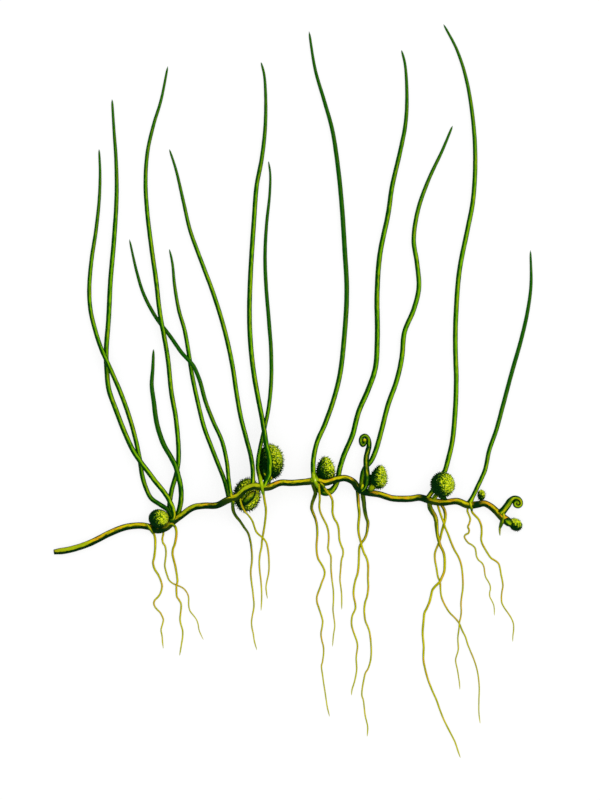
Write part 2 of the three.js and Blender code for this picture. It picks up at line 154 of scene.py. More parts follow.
class Graph:
    """Short calls that add nodes to a node tree and link them."""

    def __init__(self, tree: bpy.types.NodeTree) -> None:
        """Keeps the tree that the nodes are added to."""
        self.tree = tree

    def add(self, kind: str, inputs: dict[Any, Any] | None = None, **settings: Any) -> bpy.types.Node:
        """Adds one node.

        Args:
            kind: the node's type.
            inputs: values or sockets for its inputs, by name or number.
            settings: the node's own options.

        Returns:
            The new node.
        """
        node = self.tree.nodes.new(kind)
        for option, value in settings.items():
            setattr(node, option, value)
        for key, value in (inputs or {}).items():
            if isinstance(value, bpy.types.NodeSocket):
                self.tree.links.new(value, node.inputs[key])
            else:
                node.inputs[key].default_value = value
        return node

    def out(self, kind: str, inputs: dict[Any, Any] | None = None, **settings: Any) -> Socket:
        """Adds one node and returns its first output."""
        return self.add(kind, inputs, **settings).outputs[0]

    def group(self, group: bpy.types.NodeTree, inputs: dict[str, Any]) -> Any:
        """Adds a shader node group and returns its outputs."""
        return self.add("ShaderNodeGroup", inputs, node_tree=group).outputs

    def link(self, value: Socket, target: Socket) -> None:
        """Links a value to an input."""
        self.tree.links.new(value, target)

    def math(self, operation: str, first: Any, second: Any = 0.0, clamp: bool = False) -> Socket:
        """Adds a Math node and returns its result."""
        return self.out("ShaderNodeMath", {0: first, 1: second}, operation=operation, use_clamp=clamp)

    def times(self, first: Any, second: Any) -> Socket:
        """Returns the product of two numbers."""
        return self.math("MULTIPLY", first, second)

    def swing(self, value: Any, width: Any) -> Socket:
        """Turns a value from 0 to 1 into a swing of that width about zero."""
        return self.times(self.math("SUBTRACT", value, 0.5), width)

    def vector(self, operation: str, first: Any, second: Any = (0.0, 0.0, 0.0)) -> Socket:
        """Adds a Vector Math node on two vectors and returns its vector."""
        return self.out("ShaderNodeVectorMath", {0: first, 1: second}, operation=operation)

    def dot(self, first: Any, second: Any) -> Socket:
        """Returns the dot product of two vectors."""
        node = self.add("ShaderNodeVectorMath", {0: first, 1: second}, operation="DOT_PRODUCT")
        return node.outputs["Value"]

    def scaled(self, vector: Any, factor: Any) -> Socket:
        """Returns a vector times a number."""
        return self.out("ShaderNodeVectorMath", {0: vector, "Scale": factor}, operation="SCALE")

    def split(self, vector: Any) -> Any:
        """Returns the three parts of a vector."""
        return self.add("ShaderNodeSeparateXYZ", {0: vector}).outputs

    def joined(self, x: Any = 0.0, y: Any = 0.0, z: Any = 0.0) -> Socket:
        """Returns the vector that has these three parts."""
        return self.out("ShaderNodeCombineXYZ", {0: x, 1: y, 2: z})

    def over(self, place: Socket, floor: Any) -> Socket:
        """Returns a place, raised to the floor where it is lower."""
        x, y, z = self.split(place)
        return self.joined(x, y, self.math("MAXIMUM", z, floor))

    def ramp(self, value: Socket, start: Any, end: Any, low: Any = 0.0, high: Any = 1.0) -> Socket:
        """Returns a smooth step from low to high as the value goes from start to end."""
        inputs = {0: value, 1: start, 2: end, 3: low, 4: high}
        return self.out("ShaderNodeMapRange", inputs, interpolation_type="SMOOTHSTEP")

    def mix(self, factor: Any, low: Any, high: Any) -> Socket:
        """Returns the mix of two colours, which are sockets 6 and 7 of the node and its output 2."""
        return self.add("ShaderNodeMix", {0: factor, 6: low, 7: high}, data_type="RGBA").outputs[2]

    def noise(self, vector: Any, scale: Any, detail: float = 2.0, roughness: float = 0.5) -> Socket:
        """Returns a noise value over the vector."""
        inputs = {"Vector": vector, "Scale": scale, "Detail": detail, "Roughness": roughness}
        return self.out("ShaderNodeTexNoise", inputs)

    def attribute(self, name: str, output: str = "Fac") -> Socket:
        """Returns a mesh attribute in a material, as its Fac or Vector."""
        return self.add("ShaderNodeAttribute", attribute_name=name).outputs[output]

    def place(self) -> Socket:
        """Returns the place on the piece, in metres."""
        return self.add("ShaderNodeTexCoord").outputs["Object"]

    def bump(self, height: Socket, strength: float, distance: float) -> Socket:
        """Returns the normal of a surface with relief."""
        return self.out("ShaderNodeBump", {"Strength": strength, "Distance": distance, "Height": height})

    def store(self, geometry: Socket, name: str, value: Socket, data_type: str) -> Socket:
        """Stores a value on a geometry's points under a name and returns the geometry."""
        inputs = {"Geometry": geometry, "Name": name, "Value": value}
        return self.out("GeometryNodeStoreNamedAttribute", inputs, data_type=data_type, domain="POINT")

    def stored(self, name: str, data_type: str) -> Socket:
        """Returns what a geometry's points carry under a name."""
        return self.out("GeometryNodeInputNamedAttribute", {"Name": name}, data_type=data_type)

    def random(self, low: float, high: float, seed: int) -> Socket:
        """Returns a random number for each element, by the node's sockets for numbers."""
        inputs = {2: low, 3: high, "Seed": seed}
        return self.add("FunctionNodeRandomValue", inputs, data_type="FLOAT").outputs[1]

    def finish_geometry(self, geometry: Socket, material: Socket, target: Socket) -> None:
        """Ends a tree: smooth shading, real instances and the material.

        Args:
            geometry: what the tree made.
            material: the material that it gets.
            target: the tree's output.
        """
        smooth = self.out("GeometryNodeSetShadeSmooth", {"Geometry": geometry})
        real = self.out("GeometryNodeRealizeInstances", {"Geometry": smooth})
        self.link(self.out("GeometryNodeSetMaterial", {"Geometry": real, "Material": material}), target)


def new_group(
    name: str, inputs: dict[str, str], outputs: dict[str, str], kind: str = "ShaderNodeTree"
) -> tuple[Graph, Any, Any]:
    """Starts a node group with named sockets.

    Args:
        name: the group's name.
        inputs: each input's socket type, by name.
        outputs: each output's socket type, by name.
        kind: ShaderNodeTree or GeometryNodeTree.

    Returns:
        The graph of the group, the sockets that bring its inputs, and those that take its outputs.
    """
    tree = bpy.data.node_groups.new(name, kind)
    for side, sockets in (("INPUT", inputs), ("OUTPUT", outputs)):
        for socket, socket_type in sockets.items():
            tree.interface.new_socket(name=socket, in_out=side, socket_type=f"NodeSocket{socket_type}")
    graph = Graph(tree)
    return graph, graph.add("NodeGroupInput").outputs, graph.add("NodeGroupOutput").inputs


@cache
def painted_light_bands() -> bpy.types.NodeTree:
    """A shader group that paints light and shade on a rod in bands along its length, by the side that its
    surface faces.

    The edge's colour is painted shade where the surface turns away from the light side, and in a thin rim
    where it stands upright; the strip is a painted highlight on the side towards the light. Sway shifts the
    borders of the bands.

    Returns:
        The group. Strip is 1 along the middle of the painted highlight and 0 outside it.
    """
    inputs = {
        "Facing": "Vector", "Light Side": "Vector", "Edge": "Color", "Body": "Color", "Strip": "Color",
        "Edge End": "Float", "Body Start": "Float", "Strip Start": "Float", "Strip End": "Float",
        "Rim Start": "Float", "Rim End": "Float", "Sway": "Float",
    }
    graph, value, end = new_group("Lengthwise bands", inputs, {"Color": "Color", "Strip": "Float"})
    facing = graph.vector("NORMALIZE", value["Facing"])
    turned = graph.dot(facing, value["Light Side"])
    lit = graph.math("ADD", graph.math("ABSOLUTE", turned), value["Sway"])
    level = graph.math("ABSOLUTE", graph.split(facing)[2])
    inside = graph.ramp(graph.math("ADD", level, value["Sway"]), value["Rim Start"], value["Rim End"])
    body = graph.times(graph.ramp(lit, value["Edge End"], value["Body Start"]), inside)
    strip = graph.times(graph.ramp(lit, value["Strip Start"], value["Strip End"]), inside)
    # Edge is the painted shade colour and Strip the painted highlight colour.
    colour = graph.mix(body, value["Edge"], value["Body"])
    graph.link(graph.mix(strip, colour, value["Strip"]), end["Color"])
    graph.link(strip, end["Strip"])
    return graph.tree


@cache
def fibre_grain() -> bpy.types.NodeTree:
    """A shader group with fine fibres that run along a rod.

    Returns:
        The group. Fibre goes from 0 to 1 across the fibres.
    """
    inputs = {"Around": "Vector", "Along": "Float", "Fineness": "Float", "Run": "Float"}
    graph, value, end = new_group("Fibre grain", inputs, {"Fibre": "Float"})
    around = graph.scaled(value["Around"], value["Fineness"])
    lift = graph.joined(z=graph.math("DIVIDE", value["Along"], value["Run"]))
    fibre = graph.noise(graph.vector("ADD", around, lift), 1.0, **FIBRE_NOISE)
    graph.link(graph.ramp(fibre, *FIBRE_RANGE), end["Fibre"])
    return graph.tree


@cache
def soft_patches() -> bpy.types.NodeTree:
    """A shader group with soft irregular patches.

    Returns:
        The group. Patch goes from 0 to 1, and Size is the width of a patch in metres.
    """
    inputs = {"Place": "Vector", "Size": "Float", "Start": "Float", "End": "Float"}
    graph, value, end = new_group("Soft patches", inputs, {"Patch": "Float"})
    scale = graph.math("DIVIDE", 1.0, value["Size"])
    noise = graph.noise(value["Place"], scale, **PATCH_NOISE)
    graph.link(graph.ramp(noise, value["Start"], value["End"]), end["Patch"])
    return graph.tree


def new_material(name: str, shine: float = SKIN_SHINE) -> tuple[bpy.types.Material, Graph, Any]:
    """Starts a material.

    Args:
        name: the material's name.
        shine: its specular level.

    Returns:
        The material, its graph and the inputs of its Principled node.
    """
    material = bpy.data.materials.new(name)
    material.use_nodes = True
    sockets = material.node_tree.nodes["Principled BSDF"].inputs
    sockets["Specular IOR Level"].default_value = shine
    return material, Graph(material.node_tree), sockets


@dataclass(frozen=True)
class ThreadFinish:
    """The living skin of a leaf, a root or the stem: bands of painted light and shade, fibres, patches and
    its two ends.
    """

    name: str
    # edge is painted shade where the surface turns from light_side and on the upright rim; strip is a painted
    # highlight on the side towards light_side; body lies between them
    edge: Rgb
    body: Rgb
    strip: Rgb
    patch: Rgb  # a second colour of the painted highlight strip
    top: Rgb  # near the base, by the mesh's own "top" attribute
    tip: Rgb
    light_side: tuple[float, float, float]
    edge_end: float = 0.66
    body_start: float = 0.82
    strip_start: float = 0.84
    strip_end: float = 0.97
    rim_start: float = 0.45
    rim_end: float = 0.72
    sway: float = 0.16  # how far the borders of the painted light and shade bands wander
    strip_keep: float = 0.0  # how far the painted highlight strip shows through the colour of the top
    lime_width: float = 0.035  # how much wider the painted highlight strip is where it is lime
    tip_start: float = 0.6  # share of the length where the tip's colour starts
    tip_end: float = 1.0
    tip_amount: float = 0.8
    patch_size: float = 2.5 * MM
    patch_start: float = 0.42
    patch_end: float = 0.62
    fibre_run: float = 0.9  # mm along the rod
    fibre_fineness: float = 4.0
    fibre_dark: float = 0.35
    roughness: float = 0.6
    roughness_sway: float = 0.14  # how much rougher the skin is between the fibres
    bump: float = 0.25
    bump_height: float = 0.03 * MM

    @cache
    def material(self) -> bpy.types.Material:
        """Builds the material once.

        Returns:
            The material of this finish.
        """
        material, graph, shader = new_material(self.name)
        patch = graph.group(soft_patches(), {
            "Place": graph.place(),
            "Size": self.patch_size,
            "Start": self.patch_start,
            "End": self.patch_end,
        })["Patch"]
        fibre = graph.group(fibre_grain(), {
            "Around": graph.attribute("around", "Vector"),
            "Along": graph.attribute("along"),
            "Fineness": self.fibre_fineness,
            "Run": self.fibre_run,
        })["Fibre"]
        lime = graph.attribute("lime")
        sway = graph.math("ADD", graph.swing(fibre, self.sway), graph.times(lime, self.lime_width))
        # Painted shade at the edge and a painted highlight in the strip, by the facing attribute; the patches
        # colour that highlight, and lime widens and tints it.
        bands = graph.group(painted_light_bands(), {
            "Facing": graph.attribute("facing", "Vector"),
            "Light Side": Vector(self.light_side).normalized(),
            "Edge": seen(self.edge),
            "Body": seen(self.body),
            "Strip": graph.mix(patch, seen(self.strip), seen(self.patch)),
            "Edge End": self.edge_end,
            "Body Start": self.body_start,
            "Strip Start": self.strip_start,
            "Strip End": self.strip_end,
            "Rim Start": self.rim_start,
            "Rim End": self.rim_end,
            "Sway": sway,
        })
        kept = graph.times(bands["Strip"], graph.math("SUBTRACT", self.strip_keep, lime))
        top = graph.math("SUBTRACT", graph.attribute("top"), kept, clamp=True)
        colour = graph.mix(top, bands["Color"], seen(self.top))
        tip = graph.ramp(graph.attribute("share"), self.tip_start, self.tip_end, 0.0, self.tip_amount)
        colour = graph.mix(tip, colour, seen(self.tip))
        # Darker between the fibres, which is grain, and where the shade attribute paints shade and shadow,
        # both towards the edge colour.
        between_fibres = graph.ramp(fibre, 0.0, 1.0, self.fibre_dark, 0.0)
        shade = graph.math("ADD", between_fibres, graph.attribute("shade"), clamp=True)
        graph.link(graph.mix(shade, colour, seen(self.edge)), shader["Base Color"])
        rough = graph.ramp(fibre, 0.0, 1.0, self.roughness + self.roughness_sway, self.roughness)
        graph.link(rough, shader["Roughness"])
        graph.link(graph.bump(fibre, self.bump, self.bump_height), shader["Normal"])
        return material


@cache
def painted_pill_light() -> bpy.types.NodeTree:
    """A shader group that paints light and shade on a pill: the side that the painted light falls on, its
    painted shade side and a painted shade rim, with specks over both.

    Returns:
        The group. Lit is the level of painted light with the specks in it, and Speck goes from 0 to 1.
    """
    inputs = {
        "Facing": "Vector", "Place": "Vector", "Light Side": "Vector", "Speck Size": "Float",
        "Speck Start": "Float", "Speck End": "Float", "Speck Sway": "Float", "Rim Level": "Float",
        "Rim Dark": "Float",
    }
    graph, value, end = new_group("Pill lighting", inputs, {"Lit": "Float", "Speck": "Float"})
    facing = graph.vector("NORMALIZE", value["Facing"])
    speck = graph.group(soft_patches(), {
        "Place": value["Place"],
        "Size": value["Speck Size"],
        "Start": value["Speck Start"],
        "End": value["Speck End"],
    })["Patch"]
    sway = graph.swing(speck, value["Speck Sway"])
    lit = graph.math("ADD", graph.dot(facing, value["Light Side"]), sway)
    # The upright rim gets painted shade.
    level = graph.math("ABSOLUTE", graph.split(facing)[2])
    rim = graph.ramp(level, 0.0, value["Rim Level"], value["Rim Dark"], 0.0)
    graph.link(graph.math("SUBTRACT", lit, rim), end["Lit"])
    graph.link(speck, end["Speck"])
    return graph.tree


@dataclass(frozen=True)
class PillSurface:
    """What the skin and the hairs of a pill share: the side that their painted light falls on, and the
    specks.
    """

    lit_from: LitFrom
    speck_size: float = 0.24 * MM
    speck_start: float = 0.36
    speck_end: float = 0.64
    speck_sway: float = 0.5  # how far the specks shift the level of painted light
    rim_level: float = 0.4  # how upright the surface stands where painted shade starts to darken the rim
    # how much painted shade darkens the rim
    rim_dark: float = 0.24

    def lit_material(self, name: str) -> tuple[bpy.types.Material, Graph, Any, Any]:
        """Starts a material with the pill's painted light and shade.

        Args:
            name: the start of the material's name.

        Returns:
            The material, its graph, the inputs of its Principled node and the outputs of the painted light.
        """
        material, graph, shader = new_material(f"{name}_{self.lit_from.name.lower()}")
        lighting = graph.group(painted_pill_light(), {
            "Facing": graph.attribute("facing", "Vector"),
            "Place": graph.place(),
            "Light Side": Vector(self.lit_from.value).normalized(),
            "Speck Size": self.speck_size,
            "Speck Start": self.speck_start,
            "Speck End": self.speck_end,
            "Speck Sway": self.speck_sway,
            "Rim Level": self.rim_level,
            "Rim Dark": self.rim_dark,
        })
        return material, graph, shader, lighting


@dataclass(frozen=True)
class PillFinish(PillSurface):
    """The skin of a pill under its hairs, with painted light and shade: painted shade on one side, and on the
    lit side a painted highlight broken by specks.
    """

    # dark is painted shade, middle the mid tone, bright_low and bright the speckled painted highlight.
    dark: Rgb = (0, 40, 4)
    middle: Rgb = (70, 116, 0)
    bright_low: Rgb = (112, 148, 0)
    bright: Rgb = (226, 236, 30)
    dark_end: float = 0.36
    middle_end: float = 0.56
    bright_end: float = 0.84
    roughness: float = 0.75
    bump: float = 0.5
    bump_height: float = 0.06 * MM

    @cache
    def material(self) -> bpy.types.Material:
        """Builds the material once.

        Returns:
            The material of this finish.
        """
        material, graph, shader, lighting = self.lit_material("pill_skin_painted_light")
        # From painted shade to the middle tone, then to the speckled painted highlight, by the painted light
        # level.
        middle = graph.ramp(lighting["Lit"], self.dark_end, self.middle_end)
        colour = graph.mix(middle, seen(self.dark), seen(self.middle))
        bright = graph.mix(lighting["Speck"], seen(self.bright_low), seen(self.bright))
        is_bright = graph.ramp(lighting["Lit"], self.middle_end, self.bright_end)
        graph.link(graph.mix(is_bright, colour, bright), shader["Base Color"])
        graph.link(graph.bump(lighting["Speck"], self.bump, self.bump_height), shader["Normal"])
        shader["Roughness"].default_value = self.roughness
        return material


@dataclass(frozen=True)
class HairFinish(PillSurface):
    """The short bristles of a pill, with painted light and shade: dark green on the painted shade side,
    yellow with pale tips on the painted lit side.
    """

    # root_dark and tip_dark are painted shade, root_bright and tip_bright the painted lit side.
    root_dark: Rgb = (0, 36, 2)
    root_bright: Rgb = (98, 146, 0)
    tip_dark: Rgb = (14, 84, 4)
    tip_low: Rgb = (108, 160, 4)  # of the hairs on the painted lit side, in a dim speck
    tip_bright: Rgb = (224, 240, 40)
    tip_pale: Rgb = (255, 255, 196)  # of the palest hairs: their own random tone, made more common by painted highlight
    tip_start: float = 0.25  # share of a hair's length where the tip's colour starts
    tip_end: float = 0.8
    pale_start: float = 0.6  # tone from which a hair is pale
    pale_end: float = 0.9
    pale_lit: float = 0.9  # what the painted light of a hair's place adds to its tone: a painted highlight that turns more tips pale
    even_lit: float = 0.58  # painted light at which that is nothing
    tone_sway: float = 0.5
    bright_start: float = 0.44
    bright_end: float = 0.74
    roughness: float = 0.7

    @cache
    def material(self) -> bpy.types.Material:
        """Builds the material once.

        Returns:
            The material of this finish.
        """
        material, graph, shader, lighting = self.lit_material("pill_hair_painted_light")
        tone = graph.attribute("tone")
        # Each hair's colour goes from painted shade to the painted lit side by the painted light level and
        # its own random tone.
        lit = graph.math("ADD", lighting["Lit"], graph.swing(tone, self.tone_sway))
        bright = graph.ramp(lit, self.bright_start, self.bright_end)
        root = graph.mix(bright, seen(self.root_dark), seen(self.root_bright))
        most_lit = graph.times(graph.math("SUBTRACT", lighting["Lit"], self.even_lit), self.pale_lit)
        pale = graph.ramp(graph.math("ADD", tone, most_lit), self.pale_start, self.pale_end)
        lit_tip = graph.mix(lighting["Speck"], seen(self.tip_low), seen(self.tip_bright))
        tip = graph.mix(bright, seen(self.tip_dark), graph.mix(pale, lit_tip, seen(self.tip_pale)))
        at_tip = graph.ramp(graph.attribute("tip"), self.tip_start, self.tip_end)
        graph.link(graph.mix(at_tip, root, tip), shader["Base Color"])
        shader["Roughness"].default_value = self.roughness
        return material


# In every finish below, edge is painted shade and strip a painted highlight on the side of light_side, which
# differs from finish to finish.
LEAF_FINISH = ThreadFinish(
    name="leaf_skin",
    edge=(2, 58, 0), body=(48, 124, 0), strip=(104, 174, 0), patch=(132, 168, 4),
    top=(170, 202, 4), tip=(8, 84, 4), light_side=(0.44, 0.10, 0.89), strip_keep=-0.2, fibre_dark=0.3,
    edge_end=0.74, body_start=0.87, strip_start=0.88, rim_start=0.58, rim_end=0.84,
)
BRIGHT_LEAF_FINISH = replace(
    LEAF_FINISH, name="bright_leaf_skin", body=(56, 128, 0), strip=(100, 168, 0), edge_end=0.68,
    body_start=0.82, strip_start=0.84, fibre_dark=0.2,
)
DARK_TIPPED_LEAF_FINISH = replace(
    LEAF_FINISH, name="dark_tipped_leaf_skin", tip=(8, 80, 2), tip_start=0.12, tip_end=0.5,
    tip_amount=0.86,
)
YOUNG_LEAF_FINISH = ThreadFinish(
    name="young_leaf_skin",
    edge=(0, 42, 4), body=(34, 94, 0), strip=(136, 174, 2), patch=(164, 160, 8),
    top=(176, 172, 14), tip=(255, 236, 20), light_side=(0.14, 0.12, 0.98), edge_end=0.8, body_start=0.93,
    strip_start=0.95, strip_end=0.998, rim_start=0.66, rim_end=0.94, tip_start=0.955, tip_amount=1.0,
    fibre_dark=0.25,
)
PALE_YOUNG_LEAF_FINISH = ThreadFinish(
    name="pale_young_leaf_skin",
    edge=(0, 44, 4), body=(96, 144, 0), strip=(158, 184, 4), patch=(188, 178, 10),
    top=(176, 172, 14), tip=(220, 200, 20), light_side=(0.16, -0.07, 0.98), edge_end=0.8, body_start=0.92,
    strip_start=0.93, strip_end=0.99, rim_start=0.6, rim_end=0.88, tip_start=0.955, patch_size=0.8 * MM,
    fibre_dark=0.25,
)
# The stem: a golden painted highlight with orange patches along its upper side, and painted shade along its
# lower side.
STEM_FINISH = ThreadFinish(
    name="stem_skin",
    edge=(0, 38, 4), body=(106, 122, 0), strip=(210, 200, 4), patch=(228, 168, 24),
    top=(156, 182, 12), tip=(124, 134, 12), light_side=(0.04, 0.50, 0.86), edge_end=0.78, body_start=0.87,
    strip_start=0.86, strip_end=0.94, rim_start=0.58, rim_end=0.8, patch_size=1.3 * MM, tip_amount=0.0,
    fibre_fineness=5.0, fibre_run=0.8, strip_keep=0.5, lime_width=0.065, fibre_dark=0.25,
)
# The root: golden of its own, with painted shade on its edges and a painted highlight strip; its top is dark
# green near the stem.
ROOT_FINISH = ThreadFinish(
    name="root_skin",
    edge=(104, 126, 0), body=(192, 186, 0), strip=(218, 204, 6), patch=(230, 168, 36),
    top=(4, 56, 6), tip=(200, 196, 14), light_side=(0.36, 0.08, 0.93), edge_end=0.35, body_start=0.8,
    strip_start=0.87, strip_end=0.98, rim_start=0.15, rim_end=0.5, strip_keep=1.1, fibre_fineness=2.0,
    fibre_run=1.6, patch_size=2.6 * MM, patch_start=0.48, patch_end=0.56, fibre_dark=0.6,
)
BAND_FINISH = ThreadFinish(
    name="node_band_skin",
    edge=(50, 90, 0), body=(150, 168, 0), strip=(214, 216, 14), patch=(226, 186, 24),
    top=(168, 182, 4), tip=(168, 182, 4), light_side=(0.3, 0.3, 0.9), edge_end=0.5, body_start=0.8,
    rim_start=0.4, rim_end=0.75, tip_amount=0.0, fibre_run=0.5, fibre_dark=0.25,
)
# Its pale patch colour makes pale spots of painted highlight in the strip.
LIME_BAND_FINISH = ThreadFinish(
    name="lime_band_skin",
    edge=(84, 132, 0), body=(150, 178, 4), strip=(180, 202, 16), patch=(222, 230, 120),
    top=(168, 182, 4), tip=(168, 182, 4), light_side=(0.2, 0.2, 0.95), edge_end=0.4, body_start=0.7,
    rim_start=0.2, rim_end=0.5, tip_amount=0.0, fibre_run=0.5, fibre_dark=0.25, patch_size=0.5 * MM,
    patch_start=0.5, patch_end=0.66,
)
# Near-black green throughout: a painted shadow where a leaf or pill meets the stem.
PAINTED_SHADOW_FOOT_FINISH = ThreadFinish(
    name="painted_shadow_foot_skin",
    edge=(0, 36, 2), body=(6, 52, 2), strip=(20, 74, 2), patch=(44, 84, 2),
    top=(6, 52, 2), tip=(6, 52, 2), light_side=(0.3, 0.3, 0.9), tip_amount=0.0,
)
SWELLING_FINISH = ThreadFinish(
    name="pill_swelling_skin",
    edge=(0, 36, 2), body=(72, 116, 0), strip=(156, 178, 6), patch=(186, 170, 24),
    top=(72, 114, 0), tip=(72, 114, 0), light_side=(0.1, 0.5, 0.86), edge_end=0.6, body_start=0.84,
    rim_start=0.5, rim_end=0.8, tip_amount=0.0, fibre_run=0.3, fibre_dark=0.4, patch_size=0.4 * MM,
)


@cache
def sweep_tree() -> bpy.types.NodeTree:
    """A Geometry Nodes tree that sweeps a round section along a line of points.

    The line carries each point's radius as "thickness". The result also carries "around", the place
    round the section, and "facing", the side that the smooth surface faces.

    Returns:
        The tree.
    """
    inputs = {
        "Geometry": "Geometry", "Sides": "Int", "Unevenness": "Float", "Lump Length": "Float",
        "Ridges": "Int", "Ridge Depth": "Float", "Seed": "Float", "Material": "Material",
    }
    graph, value, end = new_group("Thread sweep", inputs, {"Geometry": "Geometry"}, "GeometryNodeTree")
    line = graph.out("GeometryNodeMeshToCurve", {"Mesh": value["Geometry"]})
    line = graph.out("GeometryNodeSetCurveNormal", {"Curve": line}, mode="Z_UP")
    circle = graph.out("GeometryNodeCurvePrimitiveCircle", {"Resolution": value["Sides"], "Radius": 1.0})
    place = graph.out("GeometryNodeInputPosition")
    circle = graph.store(circle, "around", place, "FLOAT_VECTOR")
    thickness = graph.stored("thickness", "FLOAT")
    rod = graph.out("GeometryNodeCurveToMesh", {
        "Curve": line, "Profile Curve": circle, "Scale": thickness, "Fill Caps": True,
    })
    normal = graph.out("GeometryNodeInputNormal")
    rod = graph.store(rod, "facing", normal, "FLOAT_VECTOR")
    sample = graph.vector("ADD", place, graph.joined(z=value["Seed"]))
    lumps = graph.noise(sample, graph.math("DIVIDE", 1.0, value["Lump Length"]))
    lumps = graph.swing(lumps, value["Unevenness"])
    parts = graph.split(graph.stored("around", "FLOAT_VECTOR"))
    angle = graph.math("ARCTAN2", parts[1], parts[0])
    ridges = graph.math("COSINE", graph.times(angle, value["Ridges"]))
    ridges = graph.times(graph.math("SUBTRACT", ridges, 1.0), value["Ridge Depth"])
    rise = graph.times(graph.math("ADD", lumps, ridges), thickness)
    moved = graph.vector("ADD", place, graph.scaled(normal, rise))
    rod = graph.out("GeometryNodeSetPosition", {"Geometry": rod, "Position": graph.over(moved, 0.0)})
    graph.finish_geometry(rod, value["Material"], end[0])
    return graph.tree


@cache
def coat_tree() -> bpy.types.NodeTree:
    """A Geometry Nodes tree that covers a body with short bent hairs.

    Each hair carries "tip", from 0 at its root to 1 at its tip, "facing", the side of the body that
    it grows on, and "tone", a random value of its own.

    Returns:
        The tree.
    """
    inputs = {
        "Geometry": "Geometry", "Hair Length": "Float", "Hair Radius": "Float", "Bend": "Float",
        "Spread": "Float", "Spacing": "Float", "Density": "Float", "Floor": "Float", "Seed": "Int",
        "Material": "Material",
    }
    graph, value, end = new_group("Hairy coat", inputs, {"Geometry": "Geometry"}, "GeometryNodeTree")
    cone = graph.out("GeometryNodeMeshCone", {
        "Vertices": HAIR_SIDES, "Side Segments": HAIR_SEGMENTS, "Radius Top": 0.0,
        "Radius Bottom": value["Hair Radius"], "Depth": value["Hair Length"],
    })
    place = graph.out("GeometryNodeInputPosition")
    tip = graph.math("DIVIDE", graph.split(place)[2], value["Hair Length"])
    cone = graph.store(cone, "tip", tip, "FLOAT")
    bend = graph.joined(graph.times(graph.times(tip, tip), value["Bend"]))
    hair = graph.out("GeometryNodeSetPosition", {"Geometry": cone, "Offset": bend})
    scatter = graph.add("GeometryNodeDistributePointsOnFaces", {
        "Mesh": value["Geometry"], "Distance Min": value["Spacing"], "Density Max": value["Density"],
        "Seed": value["Seed"],
    }, distribute_method="POISSON").outputs
    points = graph.store(scatter["Points"], "facing", scatter["Normal"], "FLOAT_VECTOR")
    points = graph.store(points, "tone", graph.random(0.0, 1.0, seed=1), "FLOAT")
    lean = graph.out("FunctionNodeRandomValue", {0: (-1.0,) * 3, 1: (1.0,) * 3, "Seed": 2},
                     data_type="FLOAT_VECTOR")
    facing = graph.stored("facing", "FLOAT_VECTOR")
    pointing = graph.vector("ADD", facing, graph.scaled(lean, value["Spread"]))
    turn = graph.out("FunctionNodeAlignRotationToVector", {"Vector": pointing}, axis="Z")
    spin = graph.out("FunctionNodeAxisAngleToRotation", {
        "Axis": (0.0, 0.0, 1.0), "Angle": graph.random(0.0, math.tau, seed=3),
    })
    turn = graph.out("FunctionNodeRotateRotation", {"Rotation": turn, "Rotate By": spin},
                     rotation_space="LOCAL")
    coat = graph.out("GeometryNodeInstanceOnPoints", {
        "Points": points, "Instance": hair, "Rotation": turn,
        "Scale": graph.random(SHORTEST_HAIR, 1.0, seed=4),
    })
    coat = graph.out("GeometryNodeRealizeInstances", {"Geometry": coat})
    over = graph.over(place, value["Floor"])
    coat = graph.out("GeometryNodeSetPosition", {"Geometry": coat, "Position": over})
    graph.finish_geometry(coat, value["Material"], end[0])
    return graph.tree


def add_object(name: str, data: Any) -> bpy.types.Object:
    """Adds an object to the scene."""
    added = bpy.data.objects.new(name, data)
    bpy.context.collection.objects.link(added)
    return added


def grown(
    mesh: bpy.types.Mesh, name: str, tree: bpy.types.NodeTree, inputs: dict[str, Any]
) -> bpy.types.Object:
    """Runs a Geometry Nodes tree on a mesh and keeps the result as a plain mesh.

    Args:
        mesh: what the tree starts from.
        name: the name of the new object.
        tree: the Geometry Nodes tree.
        inputs: values for the tree's named inputs.

    Returns:
        The object, with its place in its mesh and no modifier.
    """
    piece = add_object(name, mesh)
    modifier = piece.modifiers.new(name, "NODES")
    modifier.node_group = tree
    sockets = {item.name: item.identifier for item in tree.interface.items_tree if item.in_out == "INPUT"}
    for socket, value in inputs.items():
        modifier[sockets[socket]] = value
    depsgraph = bpy.context.evaluated_depsgraph_get()
    made = bpy.data.meshes.new_from_object(
        piece.evaluated_get(depsgraph), preserve_all_data_layers=True, depsgraph=depsgraph
    )
    piece.modifiers.clear()
    piece.data = made
    made.name = name
    bpy.data.meshes.remove(mesh)
    return piece


def settle(piece: bpy.types.Object, node: str | None = None) -> None:
    """Puts a finished piece on the plant's body.

    Args:
        piece: the finished piece.
        node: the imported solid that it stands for, if any.
    """
    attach(piece, BODY)
    if node:
        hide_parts(node)
    LOG.info("%s: %d faces", piece.name, len(piece.data.polygons))


def spline_span(
    before: float, start: float, end: float, after: float, gaps: tuple[float, ...], share: float
) -> float:
    """One coordinate of a centripetal Catmull-Rom line between two of its points.

    Args:
        before: the coordinate of the point before the span.
        start: the coordinate at the span's start.
        end: the coordinate at the span's end.
        after: the coordinate of the point after the span.
        gaps: the square roots of the three distances between the four points.
        share: how far along the span, from 0 to 1.

    Returns:
        The coordinate there.
    """
    gap_before, gap, gap_after = gaps
    leave = (start - before) / gap_before - (end - before) / (gap_before + gap) + (end - start) / gap
    arrive = (end - start) / gap - (after - start) / (gap + gap_after) + (after - end) / gap_after
    leave *= gap
    arrive *= gap
    square = -3 * start + 3 * end - 2 * leave - arrive
    cube = 2 * start - 2 * end + leave + arrive
    return start + share * (leave + share * (square + share * cube))


